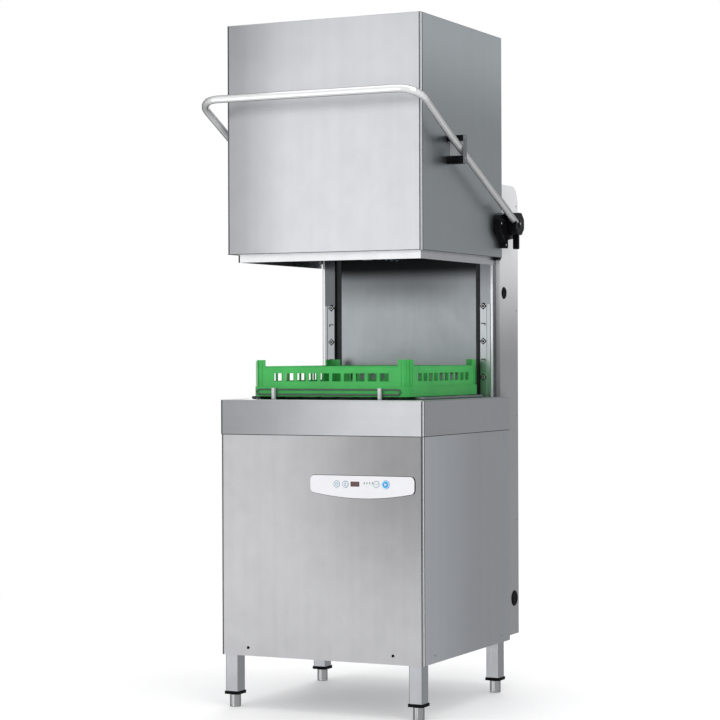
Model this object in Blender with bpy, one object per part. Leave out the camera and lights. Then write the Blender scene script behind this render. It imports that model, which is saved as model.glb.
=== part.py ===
"""Hood-type commercial dishwasher: a pass-through machine with a lifting hood and a side-pivoted handle.

Metres, +X to the machine's right as its user faces it, -Y towards the user, +Z up. The origin is on the
floor under the middle of the machine. The hood is up and the rack stands over the wash tank.
"""

import math

import bmesh
import bpy
from mathutils import Matrix, Vector

# ---------------------------------------------------------------- driving dimensions
OVERALL_DEPTH = 0.850
HANDLE_REACH = 0.0935           # the handle's front stands this far ahead of the cabinet
CABINET_FRONT = -OVERALL_DEPTH / 2 + HANDLE_REACH
GAP = 0.0003                    # between pieces that touch
SHEET = 0.0012                  # thickness of the outer sheets
THICK_SHEET = 0.0015            # thickness of the deck, apron, tank and posts

CABINET_HALF_WIDTH = 0.3200
PANEL_HALF_WIDTH = 0.3185
CABINET_DEPTH = 0.6380
PANEL_BOTTOM = 0.1525
APRON_BOTTOM = 0.7892
WORKTOP = 0.8884
REAR_PANEL_DEPTH = 0.6100
SHEET_BEND = 0.0018             # outside radius where a sheet is folded
FOLD_DEPTH = 0.0085             # how far the front sheets are folded back round their corners
SEAM = 0.0004                   # the open line between two outer sheets
BEND_STEPS = 4

FOOT_RADIUS = 0.0160
FOOT_HEIGHT = 0.0367
STUD_RADIUS = 0.0050
LEG_BOTTOM = 0.0450
LEG_HALF = 0.0210
LEG_SIDE = 0.2912
LEG_DEPTHS = {"front": 0.0284, "rear": 0.5860}
FRAME_HEIGHT = 0.0250
FRAME_WIDTH = 0.0450

CHAMBER_CENTRE = 0.3148         # depth of the spray arms' axis and of the rack's middle
DECK_OPENING_HALF = 0.2510
TANK_HALF_WIDTH = 0.2600
TANK_BOTTOM = 0.6000

HOOD_HALF_WIDTH = 0.3068
HOOD_FRONT = 0.0212
HOOD_REAR = 0.6130
HOOD_BOTTOM = 1.3070
HOOD_TOP = 1.9691
SKIRT_HALF_WIDTH = 0.2900
SKIRT_FRONT = 0.0550
SKIRT_REAR = 0.5860
SKIRT_BOTTOM = 1.2850

POST_INNER = 0.2450
POST_OUTER = 0.2870
POST_FRONT = 0.5900
POST_REAR = 0.6128
POST_TOP = 1.5120
STRIP_TOP = 1.1680
SPLASH_WALL_FRONT = 0.6000

TOWER_HALF_WIDTH = 0.3000
TOWER_FRONT = 0.6133
TOWER_REAR = OVERALL_DEPTH - HANDLE_REACH
TOWER_BOTTOM = 0.1600
TOWER_TOP = 1.5300
TOWER_ROUND = 0.0420
PIPE_HEIGHT = 1.3620            # the upper arms' pipe passes from the tower to the chamber here
PLUG_HOLES = ((0.6435, 1.2020, 0.0140), (0.7200, 0.2700, 0.0190))
VENT_ROWS = 8
VENT_PITCH = 0.0220
VENT_BOTTOM = 0.3000
VENT_HEIGHT = 0.0060
VENT_HALF = 0.0900

PIVOT_DEPTH = 0.6400
PIVOT_HEIGHT = 1.4095
SHAFT_RADIUS = 0.0080
ARM_SIDE = 0.3450
ARM_SLOPE = math.radians(24.2)
TUBE_RADIUS = 0.0110
TUBE_START = 0.0140             # from the pivot axis to the end of each arm
KINK_DEPTH = 0.1300
BAR_HEIGHT = 1.7450
BRACKET_DEPTH = 0.2125
BRACKET_HEIGHT = 1.6022
BRACKET_OPENING = 0.0420
SPRING_SIDE = 0.1400
SPRING_LEVER = 0.0700
SPRING_FOOT = 0.9803

RACK_HALF = 0.2500
RACK_BOTTOM = 0.8970
RACK_STEP = 0.9260
RACK_WALL_TOP = 0.9820
RACK_CORNER_TOP = 1.0020
RACK_WALL = 0.0030

PANEL_CENTRE = 0.1325           # middle of the control panel, to the right of the machine's middle
PANEL_HALF_LENGTH = 0.1615
PANEL_TOP = 0.6766
PANEL_CORNER = 0.6272           # the height of the lower edge at both ends
PANEL_LOWEST = 0.6136
PANEL_ROUND = 0.0130


def back(depth):
    """The Y of a point this far behind the cabinet's front face."""
    return CABINET_FRONT + depth


# ---------------------------------------------------------------- materials
def finish(name, colour, roughness, metallic):
    """A Principled material."""
    material = bpy.data.materials.new(name)
    material.use_nodes = True
    shader = material.node_tree.nodes["Principled BSDF"]
    shader.inputs["Base Color"].default_value = (*colour, 1.0)
    shader.inputs["Roughness"].default_value = roughness
    shader.inputs["Metallic"].default_value = metallic
    return material


# ---------------------------------------------------------------- modelling helpers
def add_object(name, form, material):
    """Links a new object holding this bmesh, with its faces pointing out."""
    bmesh.ops.recalc_face_normals(form, faces=form.faces)
    mesh = bpy.data.meshes.new(name)
    form.to_mesh(mesh)
    form.free()
    mesh.materials.append(material)
    made = bpy.data.objects.new(name, mesh)
    bpy.context.scene.collection.objects.link(made)
    return made


def smooth(made, angle=40):
    """Shades an object smooth, with edges sharper than the angle left sharp."""
    made.data.shade_smooth()
    made.data.set_sharp_from_angle(angle=math.radians(angle))
    return made


def add_box(form, low, high):
    """Adds a box between two corners to a bmesh."""
    low = Vector(low)
    high = Vector(high)
    place = Matrix.Translation((low + high) / 2) @ Matrix.Diagonal((*(high - low), 1.0))
    bmesh.ops.create_cube(form, size=1.0, matrix=place)


def block(name, low, high, material):
    """A box between two corners."""
    form = bmesh.new()
    add_box(form, low, high)
    return add_object(name, form, material)


def sheets(name, boxes, material):
    """Several separate boxes in one object, for a cutter."""
    form = bmesh.new()
    for low, high in boxes:
        add_box(form, low, high)
    return add_object(name, form, material)


def prism(name, outline, axis, start, end, material):
    """An outline extruded along X, Y or Z. The outline holds the other two coordinates in their order."""
    form = bmesh.new()
    turns = {
        "x": lambda a, b: (start, a, b),
        "y": lambda a, b: (a, start, b),
        "z": lambda a, b: (a, b, start),
    }
    face = form.faces.new([form.verts.new(turns[axis](a, b)) for a, b in outline])
    swept = bmesh.ops.extrude_face_region(form, geom=[face])
    moved = [item for item in swept["geom"] if isinstance(item, bmesh.types.BMVert)]
    shift = Vector([end - start if axis == letter else 0.0 for letter in "xyz"])
    bmesh.ops.translate(form, verts=moved, vec=shift)
    return add_object(name, form, material)


def turned(name, profile, centre, axis, material, steps=24, ring=False):
    """A profile of (radius, distance along the axis) turned about X, Y or Z. A ring's profile is closed."""
    form = bmesh.new()
    corners = [form.verts.new((radius, 0.0, along)) for radius, along in profile]
    edges = [form.edges.new(pair) for pair in zip(corners, corners[1:])]
    if ring:
        edges.append(form.edges.new((corners[-1], corners[0])))
    bmesh.ops.spin(
        form,
        geom=corners + edges,
        cent=(0.0, 0.0, 0.0),
        axis=(0.0, 0.0, 1.0),
        angle=2 * math.pi,
        steps=steps,
        use_merge=True,
    )
    bmesh.ops.remove_doubles(form, verts=form.verts, dist=1e-6)
    lay = {
        "x": Matrix.Rotation(math.pi / 2, 4, "Y"),
        "y": Matrix.Rotation(-math.pi / 2, 4, "X"),
        "z": Matrix.Identity(4),
    }[axis]
    bmesh.ops.transform(form, matrix=Matrix.Translation(centre) @ lay, verts=form.verts)
    return smooth(add_object(name, form, material))


def rounded_rectangle(half_a, half_b, radius, centre=(0.0, 0.0), steps=5):
    """The outline of a rectangle with round corners."""
    outline = []
    for sign_a, sign_b, first in ((1, 1, 0), (-1, 1, 90), (-1, -1, 180), (1, -1, 270)):
        for step in range(steps + 1):
            turn = math.radians(first + 90 * step / steps)
            outline.append((
                centre[0] + sign_a * (half_a - radius) + radius * math.cos(turn),
                centre[1] + sign_b * (half_b - radius) + radius * math.sin(turn),
            ))
    return outline


def bent_row(half, front, bend, rear, shrink=0.0):
    """The plan of a sheet's face across the front and back round both corners to its rear edges."""
    row = [(-half + shrink, rear)]
    for sign, first in ((-1, 180), (1, 270)):
        for step in range(BEND_STEPS + 1):
            turn = math.radians(first + 90 * step / BEND_STEPS)
            row.append((
                sign * (half - bend) + (bend - shrink) * math.cos(turn),
                front + bend + (bend - shrink) * math.sin(turn),
            ))
    row.append((half - shrink, rear))
    return row


def folded_outline(half, front, thick, bend, rear):
    """The plan of a sheet that runs across the front and is folded back at both ends."""
    return bent_row(half, front, bend, rear) + bent_row(half, front, bend, rear, thick)[::-1]


def rounded_route(corners, radii, steps=7):
    """Points along straight runs joined by arcs, one arc of the given radius at each inner corner."""
    route = [Vector(corners[0])]
    for before, corner, after, radius in zip(corners, corners[1:], corners[2:], radii):
        corner = Vector(corner)
        towards = (Vector(before) - corner).normalized()
        away = (Vector(after) - corner).normalized()
        half = towards.angle(away) / 2
        reach = radius / math.tan(half)
        centre = corner + (towards + away).normalized() * (radius / math.sin(half))
        first = (corner + towards * reach - centre).normalized()
        last = (corner + away * reach - centre).normalized()
        for step in range(steps + 1):
            route.append(centre + first.slerp(last, step / steps) * radius)
    route.append(Vector(corners[-1]))
    return route


def tube(name, route, radius, material, sides=12, closed=False):
    """A round bar along a route, as a curve with filled ends."""
    curve = bpy.data.curves.new(name, "CURVE")
    curve.dimensions = "3D"
    curve.bevel_depth = radius
    curve.bevel_resolution = (sides - 4) // 2
    curve.use_fill_caps = True
    spline = curve.splines.new("POLY")
    spline.points.add(len(route) - 1)
    for point, place in zip(spline.points, route):
        point.co = (*place, 1.0)
    spline.use_cyclic_u = closed
    curve.materials.append(material)
    made = bpy.data.objects.new(name, curve)
    bpy.context.scene.collection.objects.link(made)
    return made


def tube_mesh(name, route, radius, material, sides=12, closed=False):
    """The same round bar as a mesh, for a piece that takes a Boolean."""
    made = tube(name + "_curve", route, radius, material, sides, closed)
    bpy.context.view_layer.update()
    mesh = bpy.data.meshes.new_from_object(made.evaluated_get(bpy.context.evaluated_depsgraph_get()))
    bpy.data.objects.remove(made, do_unlink=True)
    form = bmesh.new()
    form.from_mesh(mesh)
    bpy.data.meshes.remove(mesh)
    bmesh.ops.remove_doubles(form, verts=form.verts, dist=1e-6)
    return smooth(add_object(name, form, material))


def combine(made, operation, others):
    """Adds Boolean modifiers and turns the other objects into hidden helpers."""
    for other in others:
        step = made.modifiers.new(f"{operation.lower()}_{other.name}", "BOOLEAN")
        step.operation = operation
        step.solver = "EXACT"
        step.object = other
        other.hide_render = True
        other.display_type = "WIRE"
        other.name = f"helper_{other.name}"
    return made


def cut(made, *cutters):
    """Takes the cutters away from an object."""
    return combine(made, "DIFFERENCE", cutters)


def weld(made, *others):
    """Joins other shapes to an object."""
    return combine(made, "UNION", others)


def axis_empty(name, place):
    """An empty on a joint's axis, which carries the pieces that move about it."""
    empty = bpy.data.objects.new(name, None)
    empty.location = place
    empty.empty_display_size = 0.05
    bpy.context.scene.collection.objects.link(empty)
    return empty


def carry(empty, *pieces):
    """Parents pieces to an empty without moving them."""
    for piece in pieces:
        piece.parent = empty
        piece.matrix_parent_inverse = Matrix.Translation(empty.location).inverted()


def rod_cutter(name, centre, axis, radius, length, material, steps=20):
    """A plain cylinder centred on a point, for cutting a round hole."""
    half = length / 2
    profile = [(0.0, half), (radius, half), (radius, -half), (0.0, -half)]
    return turned(name, profile, centre, axis, material, steps)


# ---------------------------------------------------------------- lower cabinet
def build_base(steel):
    """The welded base frame with its four square legs, and the tray on it."""
    low = PANEL_BOTTOM + 0.0005
    half = PANEL_HALF_WIDTH - SHEET - GAP * 2
    front = back(SHEET + 0.0006)
    rear = back(REAR_PANEL_DEPTH - GAP)
    frame = block("base_frame", (-half, front, low), (half, rear, low + FRAME_HEIGHT), steel)
    inside = block(
        "frame_inside",
        (-half + FRAME_WIDTH, front + FRAME_WIDTH, low - 0.01),
        (half - FRAME_WIDTH, rear - FRAME_WIDTH, low + FRAME_HEIGHT + 0.01),
        steel,
    )
    cut(frame, inside)
    for row, depth in LEG_DEPTHS.items():
        for side, sign in (("left", -1), ("right", 1)):
            centre = (sign * LEG_SIDE, back(depth))
            outer = rounded_rectangle(LEG_HALF, LEG_HALF, 0.003, centre, 2)
            hollow = rounded_rectangle(LEG_HALF - 0.0015, LEG_HALF - 0.0015, 0.002, centre, 1)
            leg = prism(f"leg_{row}_{side}", outer, "z", LEG_BOTTOM, low + 0.010, steel)
            bore = prism(f"leg_bore_{row}_{side}", hollow, "z", LEG_BOTTOM - 0.01, low - 0.002, steel)
            weld(frame, leg)
            cut(frame, bore)
    tray_low = low + FRAME_HEIGHT + GAP
    tray = block("base_tray", (-half, front, tray_low), (half, rear, tray_low + THICK_SHEET), steel)
    drain = rod_cutter("tray_drain", (-0.12, back(0.50), tray_low), "z", 0.025, 0.02, steel)
    cut(tray, drain)


def build_feet(steel):
    """Four adjustable feet: a round pad with a threaded stud that runs up into the leg."""
    for row, depth in LEG_DEPTHS.items():
        for side, sign in (("left", -1), ("right", 1)):
            profile = [
                (0.0, 0.095), (STUD_RADIUS, 0.095), (STUD_RADIUS, FOOT_HEIGHT),
                (FOOT_RADIUS - 0.0015, FOOT_HEIGHT), (FOOT_RADIUS, FOOT_HEIGHT - 0.0015),
                (FOOT_RADIUS, 0.0012), (FOOT_RADIUS - 0.0012, 0.0), (0.0, 0.0),
            ]
            turned(f"foot_{row}_{side}", profile, (sign * LEG_SIDE, back(depth), 0.0), "z", steel, 20)


def panel_outline(grow=0.0):
    """The control panel's outline: a straight top, rounded corners and a shallow curve below."""
    top = PANEL_TOP + grow
    corner = PANEL_CORNER - grow
    sag = PANEL_CORNER - PANEL_LOWEST
    radius = PANEL_ROUND + grow
    reach = PANEL_HALF_LENGTH - PANEL_ROUND
    right = PANEL_CENTRE + reach
    left = PANEL_CENTRE - reach
    outline = []
    for centre_x, centre_z, start in ((right, top - radius, 90), (right, corner + radius, 0)):
        for step in range(6):
            turn = math.radians(start - 90 * step / 5)
            outline.append((centre_x + radius * math.cos(turn), centre_z + radius * math.sin(turn)))
    for step in range(1, 12):
        across = reach * (1 - step / 6)
        outline.append((PANEL_CENTRE + across, corner - sag * (1 - (across / reach) ** 2)))
    for centre_x, centre_z, start in ((left, corner + radius, 270), (left, top - radius, 180)):
        for step in range(6):
            turn = math.radians(start - 90 * step / 5)
            outline.append((centre_x + radius * math.cos(turn), centre_z + radius * math.sin(turn)))
    return outline


def build_panels(steel):
    """The cabinet's four outer sheets."""
    top = APRON_BOTTOM - SEAM
    half = PANEL_HALF_WIDTH
    plan = folded_outline(half, back(0.0), SHEET, SHEET_BEND, back(FOLD_DEPTH))
    front = prism("front_panel", plan, "z", PANEL_BOTTOM, top, steel)
    window = prism("panel_window", panel_outline(GAP), "y", back(-0.01), back(0.01), steel)
    cut(front, window)
    for side, sign in (("left", -1), ("right", 1)):
        across = sorted((sign * half, sign * (half - SHEET)))
        block(
            f"{side}_side_panel",
            (across[0], back(FOLD_DEPTH + SEAM), PANEL_BOTTOM),
            (across[1], back(CABINET_DEPTH), top),
            steel,
        )
    inner = half - SHEET - GAP
    block(
        "rear_panel",
        (-inner, back(REAR_PANEL_DEPTH), PANEL_BOTTOM),
        (inner, back(REAR_PANEL_DEPTH + SHEET), top),
        steel,
    )


def build_worktop(steel):
    """The deck with its square opening over the tank, and the deep band that runs round it."""
    proud = -THICK_SHEET
    outer = CABINET_HALF_WIDTH
    plan = bent_row(outer, back(proud), SHEET_BEND, back(TOWER_FRONT - GAP))
    deck = prism("worktop_deck", plan, "z", WORKTOP - THICK_SHEET, WORKTOP, steel)
    opening = rounded_rectangle(DECK_OPENING_HALF, DECK_OPENING_HALF, 0.03, (0.0, back(CHAMBER_CENTRE)))
    cut(deck, prism("deck_opening", opening, "z", WORKTOP - 0.01, WORKTOP + 0.01, steel))
    band = folded_outline(outer, back(proud), THICK_SHEET, SHEET_BEND, back(CABINET_DEPTH))
    prism("worktop_apron", band, "z", APRON_BOTTOM, WORKTOP - THICK_SHEET - GAP, steel)


# ---------------------------------------------------------------- wash tank and spray arms
def build_tank(steel, plastic):
    """The drawn tank under the deck, its strainer tray, its filter basket and its heater."""
    middle = (0.0, back(CHAMBER_CENTRE))
    top = WORKTOP - THICK_SHEET - GAP
    inner = TANK_HALF_WIDTH - THICK_SHEET
    tank = prism(
        "wash_tank", rounded_rectangle(TANK_HALF_WIDTH, TANK_HALF_WIDTH, 0.040, middle, 4),
        "z", TANK_BOTTOM, top, steel,
    )
    hollow = prism(
        "tank_hollow", rounded_rectangle(inner, inner, 0.0385, middle, 4),
        "z", TANK_BOTTOM + THICK_SHEET, top + 0.01, steel,
    )
    sump = rod_cutter("tank_sump", (0.13, back(0.42), TANK_BOTTOM), "z", 0.045, 0.02, steel)
    cut(tank, hollow, sump)
    height = 0.790
    reach = inner - GAP
    tray = prism(
        "tank_strainer", rounded_rectangle(reach, reach, 0.038, middle, 4),
        "z", height, height + 0.0012, steel,
    )
    collar = rod_cutter("strainer_collar", (*middle, height), "z", 0.032, 0.02, steel)
    basket_hole = rod_cutter("strainer_basket", (0.13, back(0.42), height), "z", 0.044, 0.02, steel)
    cut(tray, collar, basket_hole)
    basket = [
        (0.0, 0.6035), (0.040, 0.6035), (0.0430, 0.7880), (0.0430, 0.7916), (0.0500, 0.7916),
        (0.0500, 0.7930), (0.0420, 0.7930), (0.0388, 0.6047), (0.0, 0.6047),
    ]
    turned("filter_basket", basket, (0.13, back(0.42), 0.0), "z", plastic, 20)
    build_tank_heater(steel)


def build_tank_heater(steel):
    """The heating element: one hairpin loop lying over the tank floor, with its flange at the rear."""
    level = TANK_BOTTOM + 0.030
    near = back(0.14)
    far = back(CHAMBER_CENTRE + TANK_HALF_WIDTH - 0.012)
    corners = [
        (-0.19, far, level), (-0.19, near, level), (-0.07, near, level), (-0.07, far, level),
    ]
    element = tube_mesh("tank_heater", rounded_route(corners, (0.03, 0.03), 5), 0.005, steel, 8)
    flange = block(
        "heater_flange", (-0.215, far - 0.001, level - 0.02), (-0.045, far + 0.005, level + 0.02), steel
    )
    weld(element, flange)


def spray_arm(name, centre, low, high, half_length, half_width, bore, along_x, material):
    """A flat hollow-looking arm with round tips, thinner towards the tips, on a round hub with a bore."""
    taper = 0.6
    outline = []
    for sign in (1, -1):
        for step in range(7):
            turn = math.radians(-90 + 180 * step / 6)
            tip = half_width * taper
            along = half_length - tip + tip * math.cos(turn)
            outline.append((sign * along, sign * tip * math.sin(turn)))
        outline.append((sign * 0.03, sign * half_width))
        outline.append((sign * -0.03, sign * half_width))
    if not along_x:
        outline = [(-b, a) for a, b in outline]
    arm = prism(
        name, [(centre[0] + a, centre[1] + b) for a, b in outline], "z", low + 0.002, high - 0.002, material
    )
    hub_radius = half_width + 0.008
    hub = turned(
        f"{name}_hub", [(0.0, high), (hub_radius, high), (hub_radius, low), (0.0, low)],
        (*centre, 0.0), "z", material, 24,
    )
    weld(arm, hub)
    hole = rod_cutter(f"{name}_bore", (*centre, (low + high) / 2), "z", bore, 0.1, material, 24)
    cut(arm, hole)
    carry(axis_empty(f"{name}_axis", (*centre, (low + high) / 2)), arm)
    return arm


def build_lower_arms(steel):
    """The pedestal on the tank floor with the lower wash arm and the rinse arm above it."""
    centre = (0.0, back(CHAMBER_CENTRE))
    floor = TANK_BOTTOM + THICK_SHEET + GAP
    profile = [
        (0.0, 0.886), (0.017, 0.886), (0.017, 0.8775), (0.0120, 0.8775), (0.0120, 0.8330),
        (0.0220, 0.8330), (0.0220, floor + 0.006), (0.045, floor + 0.006), (0.045, floor), (0.0, floor),
    ]
    turned("lower_arm_pedestal", profile, (*centre, 0.0), "z", steel, 24)
    spray_arm("lower_wash_arm", centre, 0.8335, 0.8600, 0.230, 0.020, 0.0124, True, steel)
    spray_arm("lower_rinse_arm", centre, 0.8635, 0.8770, 0.225, 0.011, 0.0124, False, steel)


def build_upper_arms(steel):
    """The feed pipe that rises in the tower and reaches over the rack, and the two arms that hang from it."""
    centre = (0.0, back(CHAMBER_CENTRE))
    level = PIPE_HEIGHT
    route = rounded_route(
        [(0.0, back(0.6650), 0.420), (0.0, back(0.6650), level), (*centre, level)], (0.030,), 6
    )
    pipe = tube_mesh("upper_arm_manifold", route, 0.0125, steel, 12)
    profile = [
        (0.0, 1.3800), (0.024, 1.3800), (0.024, 1.3385), (0.0120, 1.3385), (0.0120, 1.3015),
        (0.0165, 1.3015), (0.0165, 1.2955), (0.0, 1.2955),
    ]
    head = turned("manifold_head", profile, (*centre, 0.0), "z", steel, 24)
    weld(pipe, head)
    spray_arm("upper_wash_arm", centre, 1.3165, 1.3380, 0.228, 0.020, 0.0124, True, steel)
    spray_arm("upper_rinse_arm", centre, 1.3020, 1.3135, 0.225, 0.011, 0.0124, False, steel)


# ---------------------------------------------------------------- rack and its track
def window_boxes(half, low, high, across_x):
    """Boxes that cut a row of ten windows through two opposite walls of the rack."""
    pitch = 0.0376
    width = 0.0280
    boxes = []
    for number in range(10):
        centre = (number - 4.5) * pitch
        first = (centre - width / 2, -half, low)
        last = (centre + width / 2, half, high)
        if not across_x:
            first = (-half, first[0], low)
            last = (half, last[0], high)
        shift = back(CHAMBER_CENTRE)
        boxes.append(((first[0], first[1] + shift, low), (last[0], last[1] + shift, high)))
    return boxes


def build_rack(green):
    """The square plate rack: a stepped wall with windows, raised corners and a lattice floor."""
    middle = (0.0, back(CHAMBER_CENTRE))
    floor_top = RACK_BOTTOM + 0.008
    upper = RACK_HALF - 0.004
    inner = upper - RACK_WALL
    rack = prism(
        "dish_rack", rounded_rectangle(RACK_HALF, RACK_HALF, 0.020, middle, 4),
        "z", RACK_BOTTOM, RACK_STEP, green,
    )
    wall = prism(
        "rack_wall", rounded_rectangle(upper, upper, 0.018, middle, 4),
        "z", RACK_STEP - 0.002, RACK_CORNER_TOP, green,
    )
    weld(rack, wall)
    hollow = prism(
        "rack_hollow", rounded_rectangle(inner, inner, 0.015, middle, 4),
        "z", floor_top, RACK_CORNER_TOP + 0.01, green,
    )
    post = 0.034
    reach = RACK_HALF + 0.01
    notches_x = block(
        "rack_notch_x", (-reach, middle[1] - upper + post, RACK_WALL_TOP),
        (reach, middle[1] + upper - post, RACK_CORNER_TOP + 0.01), green,
    )
    notches_y = block(
        "rack_notch_y", (-upper + post, middle[1] - reach, RACK_WALL_TOP),
        (upper - post, middle[1] + reach, RACK_CORNER_TOP + 0.01), green,
    )
    windows_front = sheets("rack_windows_front", window_boxes(reach, 0.9405, 0.9635, True), green)
    windows_side = sheets("rack_windows_side", window_boxes(reach, 0.9405, 0.9635, False), green)
    cells = []
    pitch = 0.0590
    for row in range(8):
        for column in range(8):
            x = (column - 3.5) * pitch
            y = middle[1] + (row - 3.5) * pitch
            corner = (x - 0.024, y - 0.024, RACK_BOTTOM - 0.01)
            cells.append((corner, (x + 0.024, y + 0.024, floor_top + 0.01)))
    lattice = sheets("rack_lattice", cells, green)
    cut(rack, hollow, notches_x, notches_y, windows_front, windows_side, lattice)
    carry(axis_empty("rack_axis", (0.0, middle[1], RACK_BOTTOM)), rack)


def build_track(steel):
    """The two rods that the rack slides on, welded to end rods, and the wire that guides its front."""
    level = WORKTOP + GAP + 0.004
    near = back(0.105)
    far = back(0.530)
    side = 0.2800
    corners = [(0.0, near, level), (side, near, level), (side, far, level), (-side, far, level),
               (-side, near, level), (0.0, near, level)]
    route = rounded_route(corners, (0.02, 0.02, 0.02, 0.02), 4)[:-1]
    tube("rack_track", route, 0.004, steel, 8, closed=True)
    wire = 0.0022
    depth = back(0.0600)
    low = 0.9030
    high = 0.9170
    bend = (high - low) / 2
    left = -0.2350 + bend
    right = 0.2220 - bend
    loop = []
    for centre, first in ((right, -90), (left, 90)):
        for step in range(7):
            turn = math.radians(first + 180 * step / 6)
            loop.append((centre + bend * math.cos(turn), depth, low + bend + bend * math.sin(turn)))
    guide = tube_mesh("rack_guide_wire", loop, wire, steel, 8, closed=True)
    for number, across in enumerate((-0.175, 0.163)):
        clip = [
            (back(0.0565), WORKTOP + GAP), (back(0.0585), WORKTOP + GAP), (back(0.0585), 0.9200),
            (back(0.0600), 0.9200), (back(0.0600), 0.9212), (back(0.0565), 0.9212),
        ]
        weld(guide, prism(f"guide_clip_{number}", clip, "x", across - 0.0045, across + 0.0045, steel))


# ---------------------------------------------------------------- posts, splash wall and tower
def build_posts(steel, pale_steel):
    """The two hood posts with their guide strips, and the wall between them."""
    foot = WORKTOP + GAP
    for side, sign in (("left", -1), ("right", 1)):
        thick = THICK_SHEET
        channel = [
            (POST_INNER, POST_REAR), (POST_INNER, POST_FRONT),
            (POST_OUTER, POST_FRONT), (POST_OUTER, POST_REAR),
            (POST_OUTER - thick, POST_REAR), (POST_OUTER - thick, POST_FRONT + thick),
            (POST_INNER + thick, POST_FRONT + thick), (POST_INNER + thick, POST_REAR),
        ]
        prism(f"guide_post_{side}", [(sign * x, back(y)) for x, y in channel], "z", foot, POST_TOP, steel)
        groove = 0.2665
        face = POST_FRONT - 0.0032
        rear = POST_FRONT - GAP
        strip = [
            (POST_INNER + 0.001, rear), (POST_INNER + 0.001, face), (groove, face), (groove, rear - 0.0010),
            (groove + 0.0045, rear - 0.0010), (groove + 0.0045, face), (0.2780, face), (0.2780, rear),
        ]
        plan = [(sign * x, back(y)) for x, y in strip]
        prism(f"guide_strip_{side}", plan, "z", foot, STRIP_TOP, pale_steel)
    wall_half = POST_INNER - 0.0005
    face = back(SPLASH_WALL_FRONT)
    wall = block("splash_wall", (-wall_half, face, foot), (wall_half, face + SHEET, POST_TOP), steel)
    cut(wall, rod_cutter("wall_pipe_hole", (0.0, face, PIPE_HEIGHT), "y", 0.0135, 0.02, steel))


def rounded_top(front, rear, foot, top, radius):
    """The side view of a sheet's edge that runs back at the top, turns down at the rear and ends at foot."""
    outline = [(front, top)]
    for step in range(9):
        turn = math.radians(90 - 90 * step / 8)
        outline.append((rear - radius + radius * math.cos(turn), top - radius + radius * math.sin(turn)))
    outline.append((rear, foot))
    return outline


def build_tower(bright_steel, steel):
    """The rear column: a front and two sides, a cap that curves down behind, a spring bar and a cover."""
    half = TOWER_HALF_WIDTH
    front = back(TOWER_FRONT)
    rear = back(TOWER_REAR - THICK_SHEET - GAP)
    side_view = rounded_top(front, rear, TOWER_BOTTOM, TOWER_TOP, TOWER_ROUND)
    column = prism("tower_column", [(front, TOWER_BOTTOM)] + side_view, "x", -half, half, bright_steel)
    low = TOWER_BOTTOM - 0.01
    high = TOWER_TOP + 0.01
    open_rear = back(TOWER_REAR + 0.01)
    room = [(front + SHEET, low), (front + SHEET, high), (open_rear, high), (open_rear, low)]
    inside = prism("tower_inside", room, "x", -half + SHEET, half - SHEET, bright_steel)
    anchor = block(
        "spring_anchor", (-half + SHEET / 2, back(0.6950), SPRING_FOOT - 0.0203),
        (half - SHEET / 2, back(0.7120), SPRING_FOOT - GAP), bright_steel,
    )
    pivot = (0.0, back(PIVOT_DEPTH), PIVOT_HEIGHT)
    shaft_hole = rod_cutter("tower_shaft_hole", pivot, "x", SHAFT_RADIUS + 0.001, 0.7, bright_steel)
    pipe_hole = rod_cutter("tower_pipe_hole", (0.0, front, PIPE_HEIGHT), "y", 0.0140, 0.02, bright_steel)
    plug_holes = [
        rod_cutter(f"plug_hole_{number}", (0.0, back(depth), height), "x", radius, 0.7, bright_steel)
        for number, (depth, height, radius) in enumerate(PLUG_HOLES)
    ]
    cut(column, inside, shaft_hole, pipe_hole, *plug_holes)
    weld(column, anchor)
    inner = half - SHEET - GAP
    cap_front = front + SHEET + GAP
    cap_foot = TOWER_TOP - TOWER_ROUND - 0.002
    above = rounded_top(cap_front, rear, cap_foot, TOWER_TOP, TOWER_ROUND)
    below = rounded_top(cap_front, rear - SHEET, cap_foot, TOWER_TOP - SHEET, TOWER_ROUND - SHEET)
    prism("tower_cap", above + below[::-1], "x", -inner, inner, bright_steel)
    cover = block(
        "tower_rear_cover", (-half, back(TOWER_REAR - THICK_SHEET), TOWER_BOTTOM),
        (half, back(TOWER_REAR), TOWER_TOP - TOWER_ROUND), steel,
    )
    vents = []
    for row in range(VENT_ROWS):
        low = VENT_BOTTOM + VENT_PITCH * row
        vents.append((
            (-VENT_HALF, back(TOWER_REAR - 0.01), low),
            (VENT_HALF, back(TOWER_REAR + 0.01), low + VENT_HEIGHT),
        ))
    cut(cover, sheets("cover_vents", vents, steel))


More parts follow.
